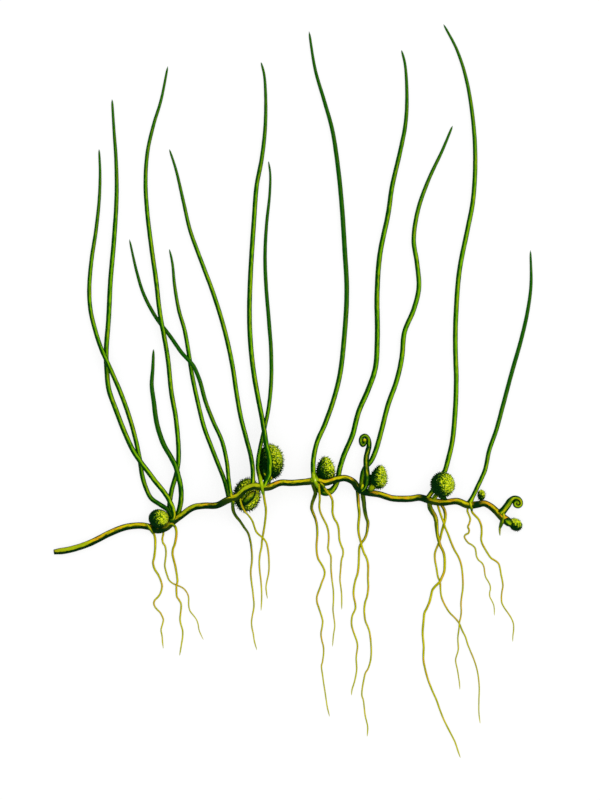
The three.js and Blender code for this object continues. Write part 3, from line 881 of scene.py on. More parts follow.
def smooth_line(points: list[Vector], rings_per_span: int) -> list[Vector]:
    """A smooth centripetal Catmull-Rom line through points.

    Args:
        points: the points, in mm.
        rings_per_span: how many steps to take between two points.

    Returns:
        The points of the line, none under the table.
    """
    ends = [points[0] * 2 - points[1], *points, points[-1] * 2 - points[-2]]
    line = []
    for i in range(len(points) - 1):
        four = ends[i:i + 4]
        gaps = tuple(max(math.sqrt((b - a).length), LEAST_GAP) for a, b in zip(four, four[1:]))
        last_step = 1 if i == len(points) - 2 else 0
        for step in range(rings_per_span + last_step):
            share = step / rings_per_span
            line.append(Vector(spline_span(*(p[axis] for p in four), gaps, share) for axis in range(3)))
    for point in line:
        point.z = max(point.z, 0.0)
    return line


def running_lengths(line: list[Vector]) -> list[float]:
    """The length of a line up to each of its points, in mm."""
    lengths = [0.0]
    for before, point in zip(line, line[1:]):
        lengths.append(lengths[-1] + (point - before).length)
    return lengths


@dataclass
class Thread:
    """A round rod that lies along a smooth line. Sizes are in mm."""

    node: str
    places: list[Place]
    diameter: float
    finish: ThreadFinish
    slot: Slot
    part: str = "thread"
    sides: int = 16
    rings_per_span: int = 10
    unevenness: float = 0.16
    lump_length: float = 0.9
    ridges: int = 0
    ridge_depth: float = 0.0
    flare: float = 0.0  # extra width of the base, as a share
    flare_length: float = 0.7
    base_shade: float = 0.0  # how much painted shade darkens the base
    base_shade_length: float = 3.0
    top_amount: float = 0.0  # how strongly the top's colour shows at the base
    top_length: float = 2.0
    lime_amount: float = 0.0  # how strongly the top's colour shows in the painted highlight strip alone
    lime_length: float = 5.0
    tip_length: float = 1.0  # the rounded or pointed end
    replaces_node: bool = True

    def points(self) -> list[Vector]:
        """The points that the line goes through, in mm."""
        return [point_at(place) for place in self.places]

    def radius_at(self, length: float, total: float) -> float:
        """The radius at a distance from the base."""
        return self.diameter / 2

    def top_at(self, length: float) -> float:
        """How much of the top's colour shows at a distance from the base."""
        return self.top_amount * fall(length, self.top_length)

    def shade_at(self, length: float) -> float:
        """How much painted shade darkens the skin at a distance from the base."""
        return self.base_shade * fall(length, self.base_shade_length)

    def lime_at(self, length: float) -> float:
        """How much of the top's colour shows in the painted highlight strip at a distance from the base."""
        return self.lime_amount * fall(length, self.lime_length)

    def rounded(self, length: float, total: float) -> float:
        """The share of the radius that is left where the rod closes at its tip."""
        left = min((total - length) / self.tip_length, 1.0)
        return max(math.sqrt(max(1 - (1 - left) ** 2, 0.0)), CLOSED_TIP)

    def line_mesh(self) -> bpy.types.Mesh:
        """Builds the line that the section is swept along.

        Returns:
            A mesh of edges in metres that carries thickness, along, share, top, shade and lime.
        """
        line = smooth_line(self.points(), self.rings_per_span)
        lengths = running_lengths(line)
        total = lengths[-1]
        radii = [self.radius_at(s, total) for s in lengths]
        middles = [(point + Vector((0, 0, radius))) * MM for point, radius in zip(line, radii)]
        closed = [radius * self.rounded(s, total) * MM for radius, s in zip(radii, lengths)]
        mesh = bpy.data.meshes.new(self.node)
        mesh.from_pydata(middles, [(i, i + 1) for i in range(len(middles) - 1)], [])
        values = {
            "thickness": closed,
            "along": lengths,
            "share": [s / total for s in lengths],
            "top": [self.top_at(s) for s in lengths],
            "shade": [self.shade_at(s) for s in lengths],
            "lime": [self.lime_at(s) for s in lengths],
        }
        for name, numbers in values.items():
            mesh.attributes.new(name, "FLOAT", "POINT").data.foreach_set("value", numbers)
        return mesh

    def build(self) -> bpy.types.Object:
        """Builds the rod, dresses it and puts it on the plant.

        Returns:
            The finished piece.
        """
        piece = grown(self.line_mesh(), f"{self.node}_{self.part}", sweep_tree(), {
            "Sides": self.sides,
            "Unevenness": self.unevenness,
            "Lump Length": self.lump_length * MM,
            "Ridges": self.ridges,
            "Ridge Depth": self.ridge_depth,
            "Seed": float(len(self.places)) * self.diameter,
            "Material": self.finish.material(),
        })
        settle(piece, self.node if self.replaces_node else None)
        return piece


@dataclass
class ThreadLeaf(Thread):
    """A grown leaf: it keeps most of its thickness, then narrows to a point."""

    finish: ThreadFinish = LEAF_FINISH
    slot: Slot = Slot.LEAF
    part: str = "blade"
    tip_share: float = 0.45  # of the diameter, where the tip closes
    taper_power: float = 5
    tip_length: float = 1.2

    def radius_at(self, length: float, total: float) -> float:
        """The radius narrows towards the tip."""
        narrowed = (1 - self.tip_share) * (length / total) ** self.taper_power
        widened = self.flare * fall(length, self.flare_length)
        return self.diameter / 2 * (1 - narrowed + widened)


@dataclass
class YoungLeaf(Thread):
    """A short stalk that ends in a flat coil, winding inwards."""

    diameter: float = 0.9
    finish: ThreadFinish = YOUNG_LEAF_FINISH
    slot: Slot = Slot.YOUNG_LEAF
    part: str = "crozier"
    sides: int = 20
    rings_per_span: int = 8
    girths: list[tuple[float, float]] = field(default_factory=list)  # share of the length, diameter there
    unevenness: float = 0.1
    tip_length: float = 0.25

    def radius_at(self, length: float, total: float) -> float:
        """The radius goes in a straight line from one girth to the next."""
        share = length / total
        for (start, girth), (end, next_girth) in zip(self.girths, self.girths[1:]):
            if share <= end:
                return mix_number(girth, next_girth, (share - start) / (end - start)) / 2
        return self.girths[-1][1] / 2


@dataclass
class Root(Thread):
    """A wavy root: a top that may be thick and green, then a slow taper to the tip."""

    diameter: float = 0.36
    finish: ThreadFinish = ROOT_FINISH
    slot: Slot = Slot.ROOT
    sides: int = 12
    rings_per_span: int = 6
    unevenness: float = 0.3
    lump_length: float = 0.7
    top: float = 0.0  # diameter at the top, where it isn't the thread's own
    thick_length: float = 4.6  # the top's diameter gives way to the thread's over this length
    tip_share: float = 0.5  # of the diameter, where the tip closes
    tip_length: float = 1.4

    def radius_at(self, length: float, total: float) -> float:
        """The radius of the thread and of its thick top."""
        thread = self.diameter * mix_number(1, self.tip_share, length / total)
        top = self.top or self.diameter
        extra = (top - self.diameter) * fall(length, self.thick_length)
        return (thread + extra) / 2


@dataclass
class NodeBand(Thread):
    """A short band over a joint of the stem, thinner at both ends."""

    diameter: float = 0.5
    finish: ThreadFinish = BAND_FINISH
    slot: Slot = Slot.STEM
    part: str = "band"
    replaces_node: bool = False
    end_share: float = 0.3  # of the diameter, at both ends
    taper_power: int = 3
    tip_length: float = 0.1

    def radius_at(self, length: float, total: float) -> float:
        """The radius of a spindle."""
        from_middle = abs(2 * length / total - 1)
        return self.diameter / 2 * mix_number(1, self.end_share, from_middle ** self.taper_power)


@dataclass
class PillStalk(Thread):
    """The short straight stalk of a pill, from its middle to the stem."""

    finish: ThreadFinish = BAND_FINISH
    slot: Slot = Slot.PILL
    part: str = "stalk"
    sides: int = 12
    replaces_node: bool = False
    ends: list[Vector] = field(default_factory=list)

    def points(self) -> list[Vector]:
        """The two ends, lowered from the middle of the rod to its underside."""
        return [end - Vector((0, 0, self.diameter / 2)) for end in self.ends]


@dataclass
class Rhizome(Thread):
    """The creeping stem: swollen at its nodes and a little narrower at its cut end."""

    diameter: float = 1.0
    finish: ThreadFinish = STEM_FINISH
    slot: Slot = Slot.STEM
    part: str = "rod"
    sides: int = 28
    rings_per_span: int = 8
    unevenness: float = 0.14
    lump_length: float = 1.1
    ridges: int = 9
    ridge_depth: float = 0.015
    tip_length: float = 0.2
    end_share: float = 0.78  # diameter of the cut end, as a share
    node_places: list[float] = field(default_factory=list)  # x of each node
    node_swell: float = 0.12
    node_length: float = 1.6
    top_amount: float = 0.06
    painted_shadow_places: list[float] = field(default_factory=list)  # x of each painted shadow
    painted_shadow_length: float = 1.0
    painted_shadow_amount: float = 1.0
    lime_places: list[float] = field(default_factory=list)  # x of each length where the painted highlight strip is lime
    lime_length: float = 2.4
    lime_amount: float = 1.35
    lime_power: int = 4

    def __post_init__(self) -> None:
        """Finds how far along the stem its nodes, painted shadows and lime lengths are."""
        self.nodes_along = self.lengths_at(self.node_places)
        self.painted_shadow_along = self.lengths_at(self.painted_shadow_places)
        self.lime_along = self.lengths_at(self.lime_places)

    def lengths_at(self, places: list[float]) -> list[float]:
        """How far along the stem it passes each x, in mm."""
        line = smooth_line(self.points(), self.rings_per_span)
        lengths = running_lengths(line)
        along = [(x - ORIGIN_PLACE[0]) * PIXEL for x in places]
        return [next((s for s, point in zip(lengths, line) if point.x >= x), lengths[-1]) for x in along]

    def nearness(self, length: float) -> float:
        """How near the closest nodes are: 1 at a node, falling to 0 away from it."""
        return sum(fall(length - node, self.node_length) for node in self.nodes_along)

    def radius_at(self, length: float, total: float) -> float:
        """The radius with its swellings and its narrower end."""
        end = mix_number(self.end_share, 1, min(length / self.diameter, 1))
        return (self.diameter + self.node_swell * self.nearness(length)) / 2 * end

    def top_at(self, length: float) -> float:
        """The stem is greener near its nodes."""
        return self.top_amount * min(self.nearness(length), 1.0)

    def shade_at(self, length: float) -> float:
        """Painted shadow darkens the stem where some leaves, roots and pills leave it or lie over it."""
        reach = [fall(length - dark, self.painted_shadow_length) for dark in self.painted_shadow_along]
        return self.painted_shadow_amount * max(reach, default=0.0)

    def lime_at(self, length: float) -> float:
        """The stem's painted highlight strip is lime, not golden, along some lengths."""
        reach = [fall(length - lime, self.lime_length, self.lime_power) for lime in self.lime_along]
        return self.lime_amount * max(reach, default=0.0)


@dataclass
class Pill:
    """A hairy pill on its short stalk. Sizes are in mm, and reach past the body into its hairs."""

    node: str
    place: Place
    across: float
    along: float
    thick: float
    joint: Place
    lean: float = 0.0  # turns the long axis clockwise, in degrees
    point: float = 0.0  # makes the far end narrower, as in an egg
    lift: float = 0.0
    hair: float = 0.5
    hair_radius: float = 0.06
    inset: float = 0.4  # how much of a hair's length stands inside the pill's size
    bend: float = 0.3  # how far a hair's tip bends to one side, as a share of its length
    spread: float = 0.5  # how far the hairs lean, each to a side of its own
    spacing: float = 0.2  # the least distance between two hairs
    tries: float = 4.0  # how many hairs are tried on a square of that side
    seed: int = 1
    stalk_diameter: float = 0.42
    stalk_finish: ThreadFinish = BAND_FINISH
    # the side that the pill's painted light falls on
    lit_from: LitFrom = LitFrom.RIGHT
    flat_depth: float = 0.2  # how far the underside is pressed into the table
    roundness: int = 5  # subdivisions of the body

    def middle(self) -> Vector:
        """The middle of the pill, in mm."""
        return point_at((*self.place, self.lift + self.thick / 2 - self.flat_depth))

    def body_mesh(self) -> bpy.types.Mesh:
        """Builds the body under the hairs.

        Returns:
            A closed mesh in metres that carries facing.
        """
        shape = bmesh.new()
        bmesh.ops.create_icosphere(shape, subdivisions=self.roundness, radius=1.0)
        for vertex in shape.verts:
            width = 1 - self.point * vertex.co.y
            vertex.co.x *= width
            vertex.co.z *= width
        radii = [size / 2 - self.hair * self.inset for size in (self.across, self.along, self.thick)]
        turn = Matrix.Rotation(-math.radians(self.lean), 4, "Z")
        place = Matrix.Translation(self.middle() * MM)
        shape.transform(place @ turn @ Matrix.Diagonal((*(r * MM for r in radii), 1.0)))
        for vertex in shape.verts:
            vertex.co.z = max(vertex.co.z, self.lift * MM)
        shape.normal_update()
        mesh = bpy.data.meshes.new(self.node)
        facings = [tuple(vertex.normal) for vertex in shape.verts]
        shape.to_mesh(mesh)
        shape.free()
        facing = mesh.attributes.new("facing", "FLOAT_VECTOR", "POINT")
        facing.data.foreach_set("vector", [number for normal in facings for number in normal])
        for face in mesh.polygons:
            face.use_smooth = True
        mesh.materials.append(PillFinish(self.lit_from).material())
        return mesh

    def build(self) -> None:
        """Builds the body, its hairs and its stalk."""
        body = add_object(f"{self.node}_body", self.body_mesh())
        settle(body, self.node)
        hairs = grown(body.data.copy(), f"{self.node}_hairs", coat_tree(), {
            "Hair Length": self.hair * MM,
            "Hair Radius": self.hair_radius * MM,
            "Bend": self.hair * self.bend * MM,
            "Spread": self.spread,
            "Spacing": self.spacing * MM,
            "Density": self.tries / (self.spacing * MM) ** 2,
            "Floor": self.lift * MM,
            "Seed": self.seed,
            "Material": HairFinish(self.lit_from).material(),
        })
        settle(hairs)
        ends = [self.middle(), point_at(self.joint)]
        PillStalk(self.node, [], self.stalk_diameter, finish=self.stalk_finish, ends=ends).build()


@dataclass
class Studio:
    """The pale table, the soft lights and the camera. Sizes are in metres."""

    table_half: float = 2.0
    table_drop: float = 0.00001
    table_glow: float = 0.8  # how much of the table's white doesn't depend on the light
    table_roughness: float = 0.9
    sky_strength: float = 1.0
    key_place: tuple[float, float, float] = (0.34, 0.30, 0.46)
    key_size: float = 0.6
    key_power: float = 1.2  # watts
    lens: float = 200.0  # mm
    sensor: float = 36.0  # mm
    scale_height: float = 0.35 * MM  # the height over the table at which the picture's scale holds
    clip_start: float = 0.01

    def build_table(self) -> None:
        """Lays the pale table under the plant."""
        half = self.table_half
        corners = [(-half, -half), (half, -half), (half, half), (-half, half)]
        mesh = bpy.data.meshes.new("table")
        mesh.from_pydata([(x, y, -self.table_drop) for x, y in corners], [], [(0, 1, 2, 3)])
        material, _, shader = new_material("table_white", shine=0.0)
        grey = 1.0 - self.table_glow
        shader["Base Color"].default_value = (grey, grey, grey, 1.0)
        shader["Emission Color"].default_value = (1.0, 1.0, 1.0, 1.0)
        shader["Emission Strength"].default_value = self.table_glow
        shader["Roughness"].default_value = self.table_roughness
        mesh.materials.append(material)
        add_object("table", mesh)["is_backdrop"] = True

    def build_lights(self) -> None:
        """Sets a bright even sky and a soft key light from the upper right."""
        world = bpy.data.worlds.new("studio")
        world.use_nodes = True
        sky = world.node_tree.nodes["Background"].inputs
        sky["Color"].default_value = (1.0, 1.0, 1.0, 1.0)
        sky["Strength"].default_value = self.sky_strength
        bpy.context.scene.world = world
        key = bpy.data.lights.new("key", "AREA")
        key.shape = "SQUARE"
        key.size = self.key_size
        key.energy = self.key_power
        lamp = add_object("key", key)
        lamp.location = self.key_place
        lamp.rotation_euler = (-Vector(self.key_place)).to_track_quat("-Z", "Y").to_euler()

    def build_camera(self) -> None:
        """Looks straight down, framed as the picture is."""
        middle = point_at(PICTURE_MIDDLE) * MM
        distance = PICTURE_HEIGHT * PIXEL * MM * self.lens / self.sensor
        data = bpy.data.cameras.new("camera")
        data.lens = self.lens
        data.sensor_width = self.sensor
        data.clip_start = self.clip_start
        camera = add_object("camera", data)
        camera.location = (middle.x, middle.y, distance + self.scale_height)
        bpy.context.scene.camera = camera

    def build(self) -> None:
        """Builds the whole studio."""
        self.build_camera()
        self.build_table()
        self.build_lights()
        bpy.context.scene.view_settings.view_transform = "Standard"
        LOG.info("studio: table, lights and camera")


RHIZOME = Rhizome(
    "rhizome",
    node_places=[165, 232, 262, 316, 361, 430, 469, 502, 507, 511],
    painted_shadow_places=[153.5, 160.5, 359, 365, 424, 476],
    lime_places=[62, 76, 190, 246],
    places=[
        (54, 552), (70, 549.5), (90, 543), (110, 533), (126, 527), (140, 525.5), (149, 526.8), (157, 530),
        (165, 528, 0.02), (173, 521.5, 0.05), (182, 515, 0.15), (193, 507.5, 0.45), (205, 505.5, 1.0),
        (217, 505, 1.8), (228, 499.5, 2.6), (238, 495.5, 3.1), (245, 489, 3.4), (254, 485.6, 3.45),
        (263, 487, 3.1), (270, 486.4, 2.65), (280, 482.6, 2.05), (292, 482.7, 1.55), (306, 481.6, 1.42),
        (316, 480.5, 1.48), (325, 482.3, 1.5), (337, 479, 1.36), (345, 478, 1.1), (353, 481.5, 0.7),
        (359, 489, 0.3), (366, 492, 0.1), (380, 494.5), (392, 498.2), (410, 498.7), (420, 497.5),
        (431, 500.8), (443, 502.5), (457, 501.2), (468, 505), (477, 504.5), (484, 503.3), (490, 506),
        (496, 511), (501.5, 516.4), (511, 524),
    ],
)

# base_shade is painted shade at a leaf's base.
LEAVES = [
    ThreadLeaf("leaf_01", diameter=0.7, base_shade=0.7, base_shade_length=4.0, places=[
        (172, 520.5, 0.55), (170.6, 514.3, 0.76), (167.4, 509.4, 0.7), (160.3, 504.6, 0.5),
        (151, 498, 0.15), (146, 488), (142.5, 477), (139.5, 458), (134.5, 435), (127, 410),
        (119.5, 390, 0.1), (111, 370, 0.82), (106.5, 360, 0.9), (102, 350, 0.82), (96, 333, 0.1),
        (90.5, 310), (89.2, 290), (91.5, 260), (96, 230), (99.3, 198), (100, 172), (99, 149),
    ]),
    ThreadLeaf("leaf_02", diameter=0.77, flare=-0.2, flare_length=2.4, lime_amount=1.1, lime_length=8,
               places=[
        (170.3, 521, 1.26), (172.4, 520, 1.4), (173.9, 517.3, 1.54), (173.9, 511, 1.55), (171, 503, 1.35),
        (165, 493, 0.95), (156, 482, 0.65), (147, 470, 0.75), (139.5, 460, 0.82), (133, 450, 0.7),
        (124.5, 432), (116, 410), (109, 390), (106.8, 370), (106.2, 350), (108.5, 320), (110.5, 280),
        (114, 240), (116.6, 195), (116, 160), (113.8, 128), (112, 99),
    ]),
    ThreadLeaf("leaf_03", diameter=0.78, finish=DARK_TIPPED_LEAF_FINISH, lime_amount=0.5, lime_length=3,
               base_shade=0.4, places=[
        (176.5, 518), (178.8, 511), (180.8, 502), (181.2, 492, 0.25), (180.4, 484, 0.75), (178.5, 476, 0.8),
        (176, 467, 0.8), (171, 457, 0.4), (163.5, 444), (157, 424), (153.8, 402), (151.7, 385),
        (152.8, 368), (153.5, 349),
    ]),
    ThreadLeaf("leaf_04", diameter=0.72, places=[
        (172.5, 519), (170.5, 513), (169.5, 506), (170.3, 498), (172.2, 488), (176, 475), (178.3, 462),
        (178.4, 446), (175.8, 418), (171.3, 392), (168, 360), (163.8, 334, 0.64), (161.5, 322, 0.72),
        (159.3, 308, 0.6), (156, 280), (151.5, 248), (147, 210), (145.5, 182), (147.5, 152), (153.5, 125),
        (161, 100), (167.8, 66),
    ]),
    ThreadLeaf("leaf_05", diameter=0.64, finish=DARK_TIPPED_LEAF_FINISH, lime_amount=0.5, places=[
        (232.5, 497, 3.0), (230.5, 490, 2.95), (229, 480, 2.5), (227, 462, 1.6), (222, 441, 0.7),
        (213, 421, 0.1), (205.5, 401.5), (199.5, 380, 0.1), (193.5, 366, 0.6), (188.5, 360, 0.72),
        (182, 353, 0.6), (170, 336), (156, 317.5), (144, 295), (137, 273), (129.3, 239),
    ]),
    ThreadLeaf("leaf_06", diameter=0.68, places=[
        (229, 498.8, 2.45), (227.5, 491, 2.1), (224.5, 480, 1.5), (219, 466, 0.8), (211, 446, 0.1),
        (204, 427), (197.3, 400), (192, 375), (188.5, 352), (184.5, 330), (178.8, 310), (174.5, 285),
        (172.3, 263), (169.3, 249),
    ]),
    ThreadLeaf("leaf_07", diameter=0.7, lime_amount=0.6, lime_length=4, places=[
        (252.7, 485.3, 3.6), (253.1, 478, 3.35), (253, 470, 2.85), (251.2, 457, 1.9), (246.5, 439, 0.8),
        (241, 418, 0.1), (236.5, 393), (232.3, 365), (224.5, 330), (213.8, 295), (200.8, 260), (190, 230),
        (183, 200), (176, 170), (169.3, 149),
    ]),
    ThreadLeaf("leaf_08", diameter=0.76, lime_amount=0.6, lime_length=4, places=[
        (263.8, 486.5, 3.4), (266, 481.5, 3.45), (268.8, 475, 3.65), (270, 467, 3.8), (269.5, 456, 3.75),
        (266.8, 446, 3.3), (264.7, 433, 2.4), (261.5, 415, 1.2), (257, 392, 0.3), (253.3, 370),
        (250.3, 340), (249.4, 310), (251, 265), (254, 220), (256.6, 186), (261.5, 160), (265, 130),
        (265.7, 100), (264.2, 75), (261, 62),
    ]),
    ThreadLeaf("leaf_09", diameter=0.62, finish=DARK_TIPPED_LEAF_FINISH, top_amount=0.9, top_length=1.3,
               places=[
        (261.3, 486, 2.7), (260, 478, 2.65), (258, 469, 2.65), (258.2, 460, 2.9), (259.8, 450, 2.35),
        (262.3, 438, 1.45), (265.5, 424, 0.75), (269, 405, 0.1), (271.2, 380), (271, 350), (268.8, 320),
        (266.2, 288), (265, 257), (266.5, 225), (269.6, 195), (270.2, 174), (268.5, 161),
    ]),
    ThreadLeaf("leaf_10", diameter=0.75, finish=DARK_TIPPED_LEAF_FINISH, flare=0.7, top_amount=0.6,
               top_length=0.9, lime_amount=0.4, places=[
        (315.2, 481, 1.68), (313.6, 474.5, 1.75), (313, 466, 1.6), (314, 455, 1.1), (317.5, 441, 0.4),
        (325, 424), (333.5, 400), (340, 374), (344.3, 336), (346.8, 292), (344.7, 250), (342, 208),
        (338.3, 170), (332.3, 130), (324, 100), (315.3, 70), (309, 31),
    ]),
    ThreadLeaf("leaf_11", diameter=0.8, flare=0.75, flare_length=2, base_shade=1.0, base_shade_length=1.5,
               lime_amount=1.3, lime_length=4.0, places=[
        (319.4, 486.8, 0.5), (321.8, 490.4, 0.1), (326, 492.2), (330.2, 491.4), (333.4, 488.6),
        (335.8, 484.8), (338, 478), (339.6, 469), (344, 455), (352.5, 435), (358.5, 412), (368, 390),
        (375.3, 368), (377.3, 335), (377, 295), (379.8, 255), (388.3, 213), (392, 187), (400.5, 150),
        (405.6, 123), (406.9, 95), (405, 64), (401.5, 50),
    ]),
    ThreadLeaf("leaf_12", diameter=0.76, finish=BRIGHT_LEAF_FINISH, top_amount=0.7, top_length=0.9, places=[
        (361, 489, 0.1), (361.7, 482), (362.7, 474), (365.4, 467.4), (371, 461), (376.2, 449), (381.5, 430),
        (388, 405), (396.5, 381), (401.7, 358), (404.5, 332), (413.5, 310), (418.8, 288), (416.8, 262),
        (413.7, 240), (418, 210), (428.5, 180), (442.5, 150), (452.7, 125.5),
    ]),
    ThreadLeaf("leaf_13", diameter=0.75, finish=BRIGHT_LEAF_FINISH, lime_amount=0.6, lime_length=7, places=[
        (427, 498.8), (432, 491.8), (438.8, 481.5), (444.4, 472), (448, 460), (452.3, 441), (455.2, 410),
        (456.2, 380), (455.3, 345), (456, 313), (459.5, 270), (467.4, 230), (473, 200), (475.2, 160),
        (473.2, 122), (466.5, 80), (457, 50), (443.5, 24),
    ]),
    ThreadLeaf("leaf_14", diameter=0.67, finish=DARK_TIPPED_LEAF_FINISH, flare=0.4, lime_amount=0.8,
               lime_length=4, places=[
        (469.3, 503.5, 0.1), (472.8, 496.5), (476, 490), (480.5, 480.5), (485, 470), (489.3, 450),
        (496.3, 430), (502.8, 406), (512.5, 370), (520.5, 342), (527.3, 313), (531, 285), (530.5, 250),
    ]),
]

YOUNG_LEAVES = [
    YoungLeaf(
        "young_leaf_1",
        girths=[(0, 0.7), (0.25, 0.84), (0.55, 0.84), (0.7, 0.7), (0.85, 0.7), (0.93, 0.58), (1, 0.62)],
        places=[
            (361.5, 491.5, 0.62), (365, 487.5, 0.72), (366.9, 481.5, 0.8), (367, 474, 0.86),
            (366.1, 466, 0.86), (366.2, 458, 0.78), (367.8, 451, 0.3), (369, 446.3), (369, 442),
            (367.9, 438.2), (365.3, 435.9), (362.6, 436.6), (361, 439.5), (361.2, 443), (362.6, 445.1),
            (364.3, 444.4), (364.9, 442.2), (364.6, 438.4),
        ],
    ),
    YoungLeaf(
        "young_leaf_2",
        finish=PALE_YOUNG_LEAF_FINISH,
        girths=[
            (0, 1.3), (0.12, 1.1), (0.33, 1), (0.46, 0.7), (0.62, 0.58), (0.76, 0.62), (0.88, 0.58), (1, 0.5),
        ],
        places=[
            (499.5, 514, 0.1), (503.1, 510.6), (507, 505.7), (510.2, 500.9), (513.9, 498), (518.2, 498.4),
            (520.9, 501.3), (520.8, 504.6), (518.2, 506.4), (515.4, 505.4), (514.7, 502.9), (516.5, 501.6),
            (518.2, 503), (516.9, 504.3),
        ],
    ),
]

# Each pill's lit_from picks the side of its painted light and shade; it differs from pill to pill.
PILLS = [
    Pill("sporocarp_1", (158.9, 518.3), 3.12, 2.86, 2.86, (166, 527.5, 0.4), seed=1,
         hair=0.13, hair_radius=0.05, spacing=0.16),
    Pill("sporocarp_2", (247.2, 494.8), 4.2, 5.3, 3.7, (254, 486, 3.6), lean=6, seed=2,
         hair=0.5, hair_radius=0.09, spacing=0.27, lit_from=LitFrom.FRONT),
    Pill("sporocarp_3", (270.4, 461.8), 4.15, 5.6, 3.7, (269.5, 486, 3.0), seed=3,
         hair=0.5, hair_radius=0.09, spacing=0.25, spread=0.4, stalk_finish=LEAF_FINISH,
         lit_from=LitFrom.UPPER_RIGHT),
    Pill("sporocarp_4", (325.5, 470.2), 3.1, 4.4, 2.6, (325, 482, 1.8), point=0.2, seed=4,
         hair=0.46, hair_radius=0.095, spacing=0.28, lit_from=LitFrom.UPPER_RIGHT),
    Pill("sporocarp_5", (378.9, 476.9), 2.72, 3.84, 2.5, (369.8, 491, 0.8), lean=10, point=0.25, seed=5,
         hair=0.4, hair_radius=0.08, spacing=0.24),
    Pill("sporocarp_6", (442.3, 484.2), 3.75, 3.95, 3.6, (431, 500.8, 0.7), lift=0.8, seed=6,
         hair=0.3, hair_radius=0.085, spacing=0.25),
    Pill("sporocarp_7", (481.3, 495.1), 1.4, 1.85, 1.4, (481, 503.5, 0.5), seed=7,
         hair=0.3, hair_radius=0.07, spacing=0.24, lit_from=LitFrom.ABOVE),
    Pill("terminal_bud", (515.4, 524.5), 1.95, 2.3, 1.9, (511, 524, 0.6), lean=-52, seed=8,
         hair=0.24, hair_radius=0.07, spacing=0.22, lit_from=LitFrom.ABOVE),
]


def foot(
    node: str, slot: Slot, diameter: float, places: list[Place], finish: ThreadFinish = PAINTED_SHADOW_FOOT_FINISH,
    end_share: float = 0.8,
) -> NodeBand:
    """The short blunt foot of a leaf or a pill; by default near-black green, a painted shadow where it meets
    the stem.

    Args:
        node: the leaf or pill.
        slot: its material slot.
        diameter: the diameter at the middle, in mm.
        places: the places that the foot goes through.
        finish: the foot's skin.
        end_share: the share of the diameter that is left at both ends.

    Returns:
        The foot.
    """
    return NodeBand(node, places, diameter, finish, slot, part="foot", end_share=end_share)


def stem_band(
    number: int, diameter: float, places: list[Place], finish: ThreadFinish = BAND_FINISH
) -> NodeBand:
    """A pale band over the stem, where a leaf runs on into a root.

    Args:
        number: the band's number.
        diameter: the diameter at the middle, in mm.
        places: the places that the band goes through.
        finish: the band's skin.

    Returns:
        The band.
    """
    return NodeBand(f"rhizome_{number}", places, diameter, finish)


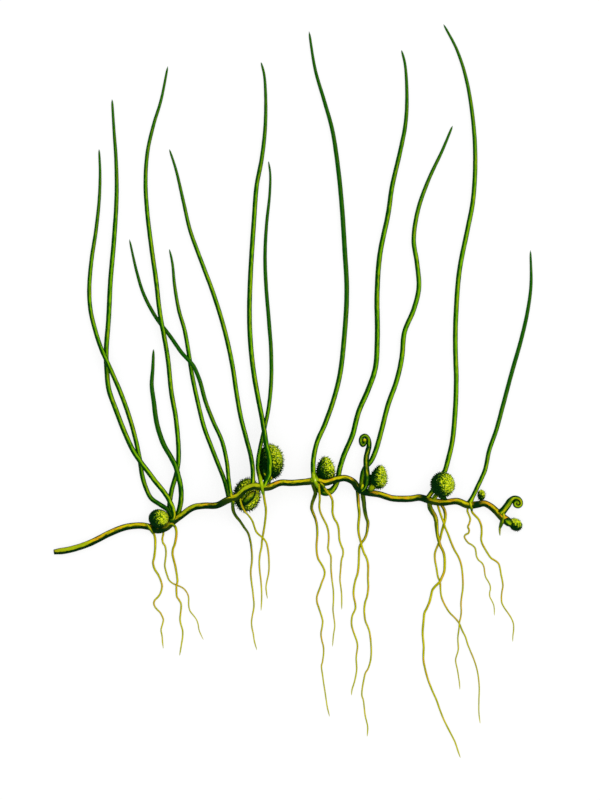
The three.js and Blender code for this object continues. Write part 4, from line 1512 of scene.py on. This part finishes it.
NODE_BANDS = [
    NodeBand(
        "sporocarp_2", diameter=1.15, finish=SWELLING_FINISH, slot=Slot.PILL, part="swelling", end_share=0.1,
        places=[(241.8, 505.5, 2.5), (245.8, 501.5, 2.65), (250.3, 496.8, 2.7), (255.8, 490.5, 2.5)],
    ),
    foot("sporocarp_3", Slot.PILL, 1.1, [(264.5, 466, 1.6), (264.4, 473, 2.0), (265.2, 480, 2.3)]),
    foot("leaf_12", Slot.LEAF, 0.6, [(364.2, 475, 0.1), (364.4, 481, 0.1), (363.6, 487, 0.1)]),
    foot("young_leaf_1", Slot.YOUNG_LEAF, 0.55, [
        (370.4, 474.5, 0.3), (370.5, 481, 0.3), (370.4, 487, 0.3),
    ]),
    NodeBand(
        "terminal_bud", diameter=1.15, finish=PALE_YOUNG_LEAF_FINISH, slot=Slot.PILL, part="neck",
        end_share=0.75, places=[(504.5, 519, 0.22), (508.5, 522.2, 0.36), (512.5, 524.6, 0.3)],
    ),
    foot("sporocarp_5", Slot.PILL, 0.98, [
        (377, 484.2, 0.6), (372.4, 486.8, 0.6), (369.6, 490.5, 0.5),
    ], BAND_FINISH),
    foot("leaf_01", Slot.LEAF, 0.8, [(170.6, 521.5, 0.1), (169.9, 516.5, 0.2), (168.4, 512, 0.2)]),
    NodeBand("leaf_02", diameter=0.32, slot=Slot.LEAF, part="hook", places=[
        (174.8, 510, 2.02), (174.9, 515, 2.08), (173.7, 518.8, 2.06), (170.2, 519.8, 1.85),
    ]),
    stem_band(1, 0.46, [(146.2, 523, 0.6), (148.6, 526.2, 0.7), (151, 529.8, 0.55), (153.4, 534.5, 0.05)]),
    stem_band(2, 0.46, [(165, 527.2, 0.62), (168.6, 524.4, 0.68), (172, 523.6, 0.66), (175.2, 527.5, 0.2)]),
    stem_band(13, 0.6, [
        (230.6, 491.5, 3.2), (232, 496.5, 3.35), (233.2, 501, 3.1), (233.2, 506, 2.35),
    ]),
    stem_band(3, 0.6, [
        (259.6, 473, 3.1), (261, 479.5, 3.65), (262, 484.5, 3.9), (262.6, 489.5, 3.5), (263.2, 494.5, 2.8),
    ], LIME_BAND_FINISH),
    stem_band(4, 0.28, [(264, 472.5, 3.5), (265, 474, 3.6), (266, 476, 3.5)]),
    stem_band(5, 0.28, [(270.8, 476, 3.2), (271.5, 477.8, 3.2), (272, 480, 3.1)]),
    stem_band(6, 0.56, [
        (312.9, 471, 2.0), (313.6, 476, 2.5), (314.9, 480.5, 2.55), (316.8, 485, 2.1), (318, 488.5, 1.6),
    ], LIME_BAND_FINISH),
    stem_band(14, 0.5, [(309.5, 479, 2.0), (314, 479, 2.45), (319, 478.8, 2.1)], LIME_BAND_FINISH),
    stem_band(7, 0.45, [(318.5, 480.5, 2.2), (322, 484, 2.1), (325, 488, 1.6)]),
    stem_band(8, 0.5, [(363, 483.4, 0.9), (361.9, 487, 0.95), (360.4, 490.3, 0.8)]),
    stem_band(9, 0.42, [(432, 491.8, 0.35), (429, 496, 0.65), (425.5, 499.2, 0.66)]),
    stem_band(10, 0.44, [(438.2, 494.2, 0.9), (434.8, 498, 0.74), (430.6, 501, 0.66)]),
    foot("sporocarp_6", Slot.PILL, 0.6, [
        (437.5, 494.8, 1.0), (440.5, 496.6, 0.85), (444, 498.2, 0.7), (447, 499.8, 0.5),
    ], end_share=0.3),
    stem_band(11, 0.5, [(470, 500, 0.5), (470.3, 504.5, 0.7), (471.3, 508, 0.5), (472, 511, 0.1)]),
    stem_band(12, 0.52, [
        (501.8, 510.4, 0.5), (503.4, 515.5, 0.8), (503, 520, 0.7), (501.2, 525, 0.3), (500.2, 529, 0.05),
    ]),
]

ROOTS = [
    Root("root_01", diameter=0.4, places=[
        (149.5, 528.5, 0.25), (152.5, 531.5), (154.3, 535), (155.2, 540), (155, 550), (154, 558),
        (153, 562), (153.5, 566), (155, 570), (158, 574.5), (160.5, 580), (162, 586), (160.5, 593),
        (158, 597), (155, 600), (153.8, 603), (155, 607), (157.5, 610), (160, 612.5), (162, 616),
        (163.3, 620), (162.5, 624), (161, 630), (162, 636), (162.5, 642), (163.3, 649),
    ]),
    Root("root_02", diameter=0.32, places=[
        (163.5, 529.5, 0.25), (163.3, 534), (162.3, 539), (163, 543), (165, 546), (166, 553), (165.3, 560),
        (164.8, 566), (167, 575), (169, 580), (172, 583), (176, 585), (180, 586.5), (184, 589), (187, 593),
        (188.5, 597), (188.7, 606), (190, 611), (193, 615), (196, 619), (198, 624), (199, 630), (201, 635),
        (203.5, 640),
    ]),
    Root("root_03", diameter=0.42, places=[
        (171.5, 523.5, 0.25), (175, 526.5), (176.3, 531), (176.3, 536), (174.5, 545), (173, 549),
        (172.5, 554), (173.5, 559), (174.8, 564), (176, 570, 0.15), (177, 576, 0.3), (177.5, 581, 0.36),
        (176.5, 586, 0.36), (176.5, 592, 0.28), (177, 597, 0.1), (179, 600), (181, 604), (181, 609),
        (180.3, 615), (180, 620), (181, 625), (182.5, 630), (182.7, 635), (182, 641), (181, 647),
        (179.5, 656),
    ]),
    Root("root_04", diameter=0.38, top=0.56, top_amount=3.0, top_length=8.5, places=[
        (233.2, 499.5, 2.85), (233, 503, 2.6), (233, 507, 2.1), (234, 512, 1.65), (236.5, 516.5, 1.15),
        (240, 521, 0.75), (244, 527, 0.4), (248, 533, 0.1), (250.5, 542), (251.5, 549), (252, 556),
        (251.8, 562), (250.7, 572), (251.5, 582), (252.5, 589), (253.3, 597), (254, 604), (253.5, 610),
        (252.3, 616), (251.5, 622), (252, 628), (253.3, 634), (254.3, 641), (257, 650.5),
    ]),
    Root("root_05", diameter=0.4, top=0.28, places=[
        (240.5, 496, 3.35), (240.7, 500, 3.35), (242, 505, 3.25), (245, 511, 2.75), (249, 515.5, 2.05),
        (252.5, 521, 1.3), (254.5, 527, 0.8), (256.5, 532, 0.5), (260, 535.5, 0.48), (263, 538, 0.46),
        (266, 542, 0.36), (267.5, 547, 0.15), (268.5, 554), (269, 562), (269, 568), (268.3, 575),
        (267, 581), (266, 587), (266.5, 593), (267.5, 599),
    ]),
    Root("root_06", diameter=0.4, places=[
        (263.5, 489, 2.85), (263.8, 494, 2.5), (264.6, 500, 2.0), (265.8, 507, 1.45), (266, 512, 1.1),
        (265.3, 520, 0.6), (264.5, 526, 0.3), (263.5, 532, 0.05), (262, 541), (261.5, 547), (260, 554),
        (259.3, 562), (259.8, 572), (260.7, 579), (261.3, 586), (261.7, 594), (261.5, 602), (261, 611),
    ]),
    Root("root_07", diameter=0.38, top=0.66, top_amount=2.4, top_length=6.5, places=[
        (312.6, 483, 1.25), (314.3, 488, 0.5), (315.6, 493), (314, 498), (312, 504), (311.7, 509),
        (313.5, 514), (315.5, 519), (316.8, 525), (317.3, 534), (316.5, 546), (317, 554), (318.3, 559),
        (321, 563.5), (323.5, 568), (324.7, 572), (324, 577), (322, 582), (320, 588), (318, 593),
        (316.8, 598), (317.2, 603), (318.5, 607), (320.5, 613), (322.7, 621), (322.3, 626), (321, 634),
        (322, 641), (323.3, 646), (323.7, 652), (322.5, 662), (321.5, 666), (322.7, 676), (323.5, 682),
        (325.5, 695), (327.3, 707), (329.7, 717),
    ]),
    Root("root_08", places=[
        (318.5, 482.5, 2.15), (319, 488, 1.9), (319.5, 494, 1.42), (319.7, 500, 0.9), (319.3, 506, 0.45),
        (320, 511, 0.15), (321.5, 515), (324, 520), (326.5, 525), (328, 530), (328.7, 536), (328.5, 543),
        (328, 548), (329, 552), (330.8, 556), (331, 568), (332, 580), (333.3, 590), (333.5, 600),
        (333, 610), (333.7, 616), (334.8, 626), (333.5, 635), (332.5, 647),
    ]),
    Root("root_09", diameter=0.4, places=[
        (322, 483, 1.75), (324, 487, 1.52), (327, 491.5, 1.18), (330, 495, 0.95), (332.3, 500, 0.6),
        (332.7, 505, 0.3), (332.6, 513), (334.5, 519), (337, 523), (338.5, 528), (339, 534), (339.5, 540),
        (341, 545), (343, 550), (343, 555), (341.5, 560), (340.7, 569), (340, 580), (341, 588),
        (341.7, 596), (341.7, 610),
    ]),
    Root("root_10", diameter=0.4, top=0.54, top_amount=1.1, top_length=4.5, places=[
        (357, 488, 0.3), (357.8, 495, 0.1), (358.5, 505), (359.3, 514), (358.3, 527, 0.08),
        (359, 535, 0.25), (360.5, 541, 0.4), (362, 547, 0.32), (364, 553, 0.16), (366.5, 558), (368, 564),
        (368, 578), (368.3, 588), (367, 597), (365.3, 602), (364.3, 609), (364.7, 617), (365.7, 622),
        (367.5, 626), (369.3, 631), (370.3, 637), (371.3, 650), (371, 657), (370, 663), (368, 669),
        (365.5, 673), (364, 679), (362, 691), (362, 696), (363.3, 700), (364.3, 708), (365.3, 716),
        (367.7, 727), (367.2, 737),
    ]),
    Root("root_11", diameter=0.42, top=0.68, top_amount=3.0, top_length=5.2, places=[
        (362.6, 493.5, 0.1), (363.5, 500), (365, 512), (366.5, 518), (367.8, 522), (367.5, 528),
        (366.5, 534), (364.5, 539), (361.5, 543), (359.5, 547), (359, 556), (358.5, 567), (357.5, 574),
        (355.5, 580), (353.5, 592), (354, 598), (355.3, 604), (355.3, 609), (352.3, 616), (351.5, 622),
        (352, 627), (353.5, 632), (357, 642), (357.5, 647), (356.2, 658), (356.7, 670), (354.7, 681),
        (352, 690), (351.5, 695.5),
    ]),
    Root("root_12", diameter=0.46, top=0.78, top_amount=1.7, top_length=6.0, places=[
        (429.5, 502.5, 0.1), (429.8, 507), (432.3, 512), (434.8, 516), (436.2, 521, 0.05),
        (436.6, 527, 0.15), (437.3, 534, 0.32), (438.8, 541, 0.4), (440.5, 546, 0.32), (443, 551, 0.12),
        (444.5, 557), (444.7, 564, 0.05), (444.3, 571, 0.15), (442, 577, 0.34), (439.5, 582, 0.4),
        (435.5, 586, 0.3), (432.5, 590, 0.1), (431, 596), (429.5, 602), (427, 608), (424.5, 613),
        (423.8, 619), (422.7, 633), (423.7, 646), (423.5, 660), (424.5, 666), (427.5, 678), (432, 690),
        (436.5, 700), (440, 710), (444, 720), (450, 732), (455, 742), (458.7, 753), (460.5, 758),
    ]),
    Root("root_13", top=0.5, top_amount=1.2, top_length=2.2, places=[
        (441, 504.2, 0.15), (443.8, 508.8), (445.2, 513), (445.3, 518), (443.5, 526), (441.5, 533),
        (440, 540), (438, 545), (435, 553), (435, 560), (436.5, 568), (438, 577), (440, 582), (440.8, 593),
        (442.5, 600), (446, 607), (450, 613), (455, 618), (459, 623), (462, 630), (465.5, 637), (468, 645),
        (470, 650), (474.5, 661), (477.8, 673), (479.3, 687), (479, 700), (479, 713), (480.3, 724),
    ]),
    Root("root_14", places=[
        (437.5, 504.5, 0.15), (440, 512.5, 0.18), (443, 521, 0.38), (445, 527, 0.4), (448, 534, 0.15),
        (451, 542), (454.5, 550), (458, 556), (460.5, 562), (462, 569), (463, 583), (462.7, 590),
        (461.7, 597), (461, 604), (461.3, 611, 0.1), (460.7, 617, 0.3), (459.5, 622, 0.42),
        (459, 628, 0.32), (457.9, 638, 0.1), (458.3, 650), (455.7, 660), (457.5, 670), (459.5, 683),
        (460, 690),
    ]),
    Root("root_15", diameter=0.32, places=[
        (468.2, 506, 0.15), (467.5, 511), (469, 515), (470.3, 519), (469.5, 523), (468, 527), (469.2, 530),
        (468.5, 533.2), (465.7, 534.7), (464.5, 536.7), (466, 540), (468.5, 543), (472, 545), (475, 548),
        (476, 552), (476.5, 556), (478.5, 560), (482, 563), (484, 567), (484.7, 572), (485.7, 577),
        (488, 581), (490, 585), (490.5, 589), (489.7, 593), (490, 597), (492, 601), (494, 606),
        (494.5, 616),
    ]),
    Root("root_16", diameter=0.36, places=[
        (471.6, 506.5, 0.15), (472, 511.5, 0.02), (474.5, 515), (478, 518.5), (480, 522), (481.5, 527),
        (481.7, 533), (481.2, 539), (482, 543), (484.5, 548), (487.5, 553), (491, 558), (495, 560.5),
        (498.5, 563.5), (500, 568), (501, 574), (502.3, 580), (503, 586), (502, 592), (501.5, 598),
        (502, 603), (504.5, 608), (508, 613), (511.5, 618.5), (513.5, 624), (513.7, 630), (513, 636),
        (512.8, 642),
    ]),
    Root("root_17", diameter=0.56, finish=BAND_FINISH, places=[
        (503.5, 516.5, 0.15), (501.2, 522.5), (499.9, 528.5), (500, 536),
    ]),
]


def write_sizes() -> None:
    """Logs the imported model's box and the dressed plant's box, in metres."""
    boxes = {"cad": CAD_BOX, "visual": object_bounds()}
    lists = {name: [list(corner) for corner in box] for name, box in boxes.items()}
    for name, (low, high) in lists.items():
        LOG.info("%s box: %s to %s", name, low, high)


def main() -> None:
    """Builds the studio and every piece of the plant."""
    logging.basicConfig(level=logging.INFO, format="%(message)s")
    Studio().build()
    RHIZOME.build()
    for piece in [*LEAVES, *YOUNG_LEAVES, *ROOTS, *NODE_BANDS]:
        piece.build()
    for pill in PILLS:
        pill.build()
    write_sizes()


if __name__ == "__main__":
    main()
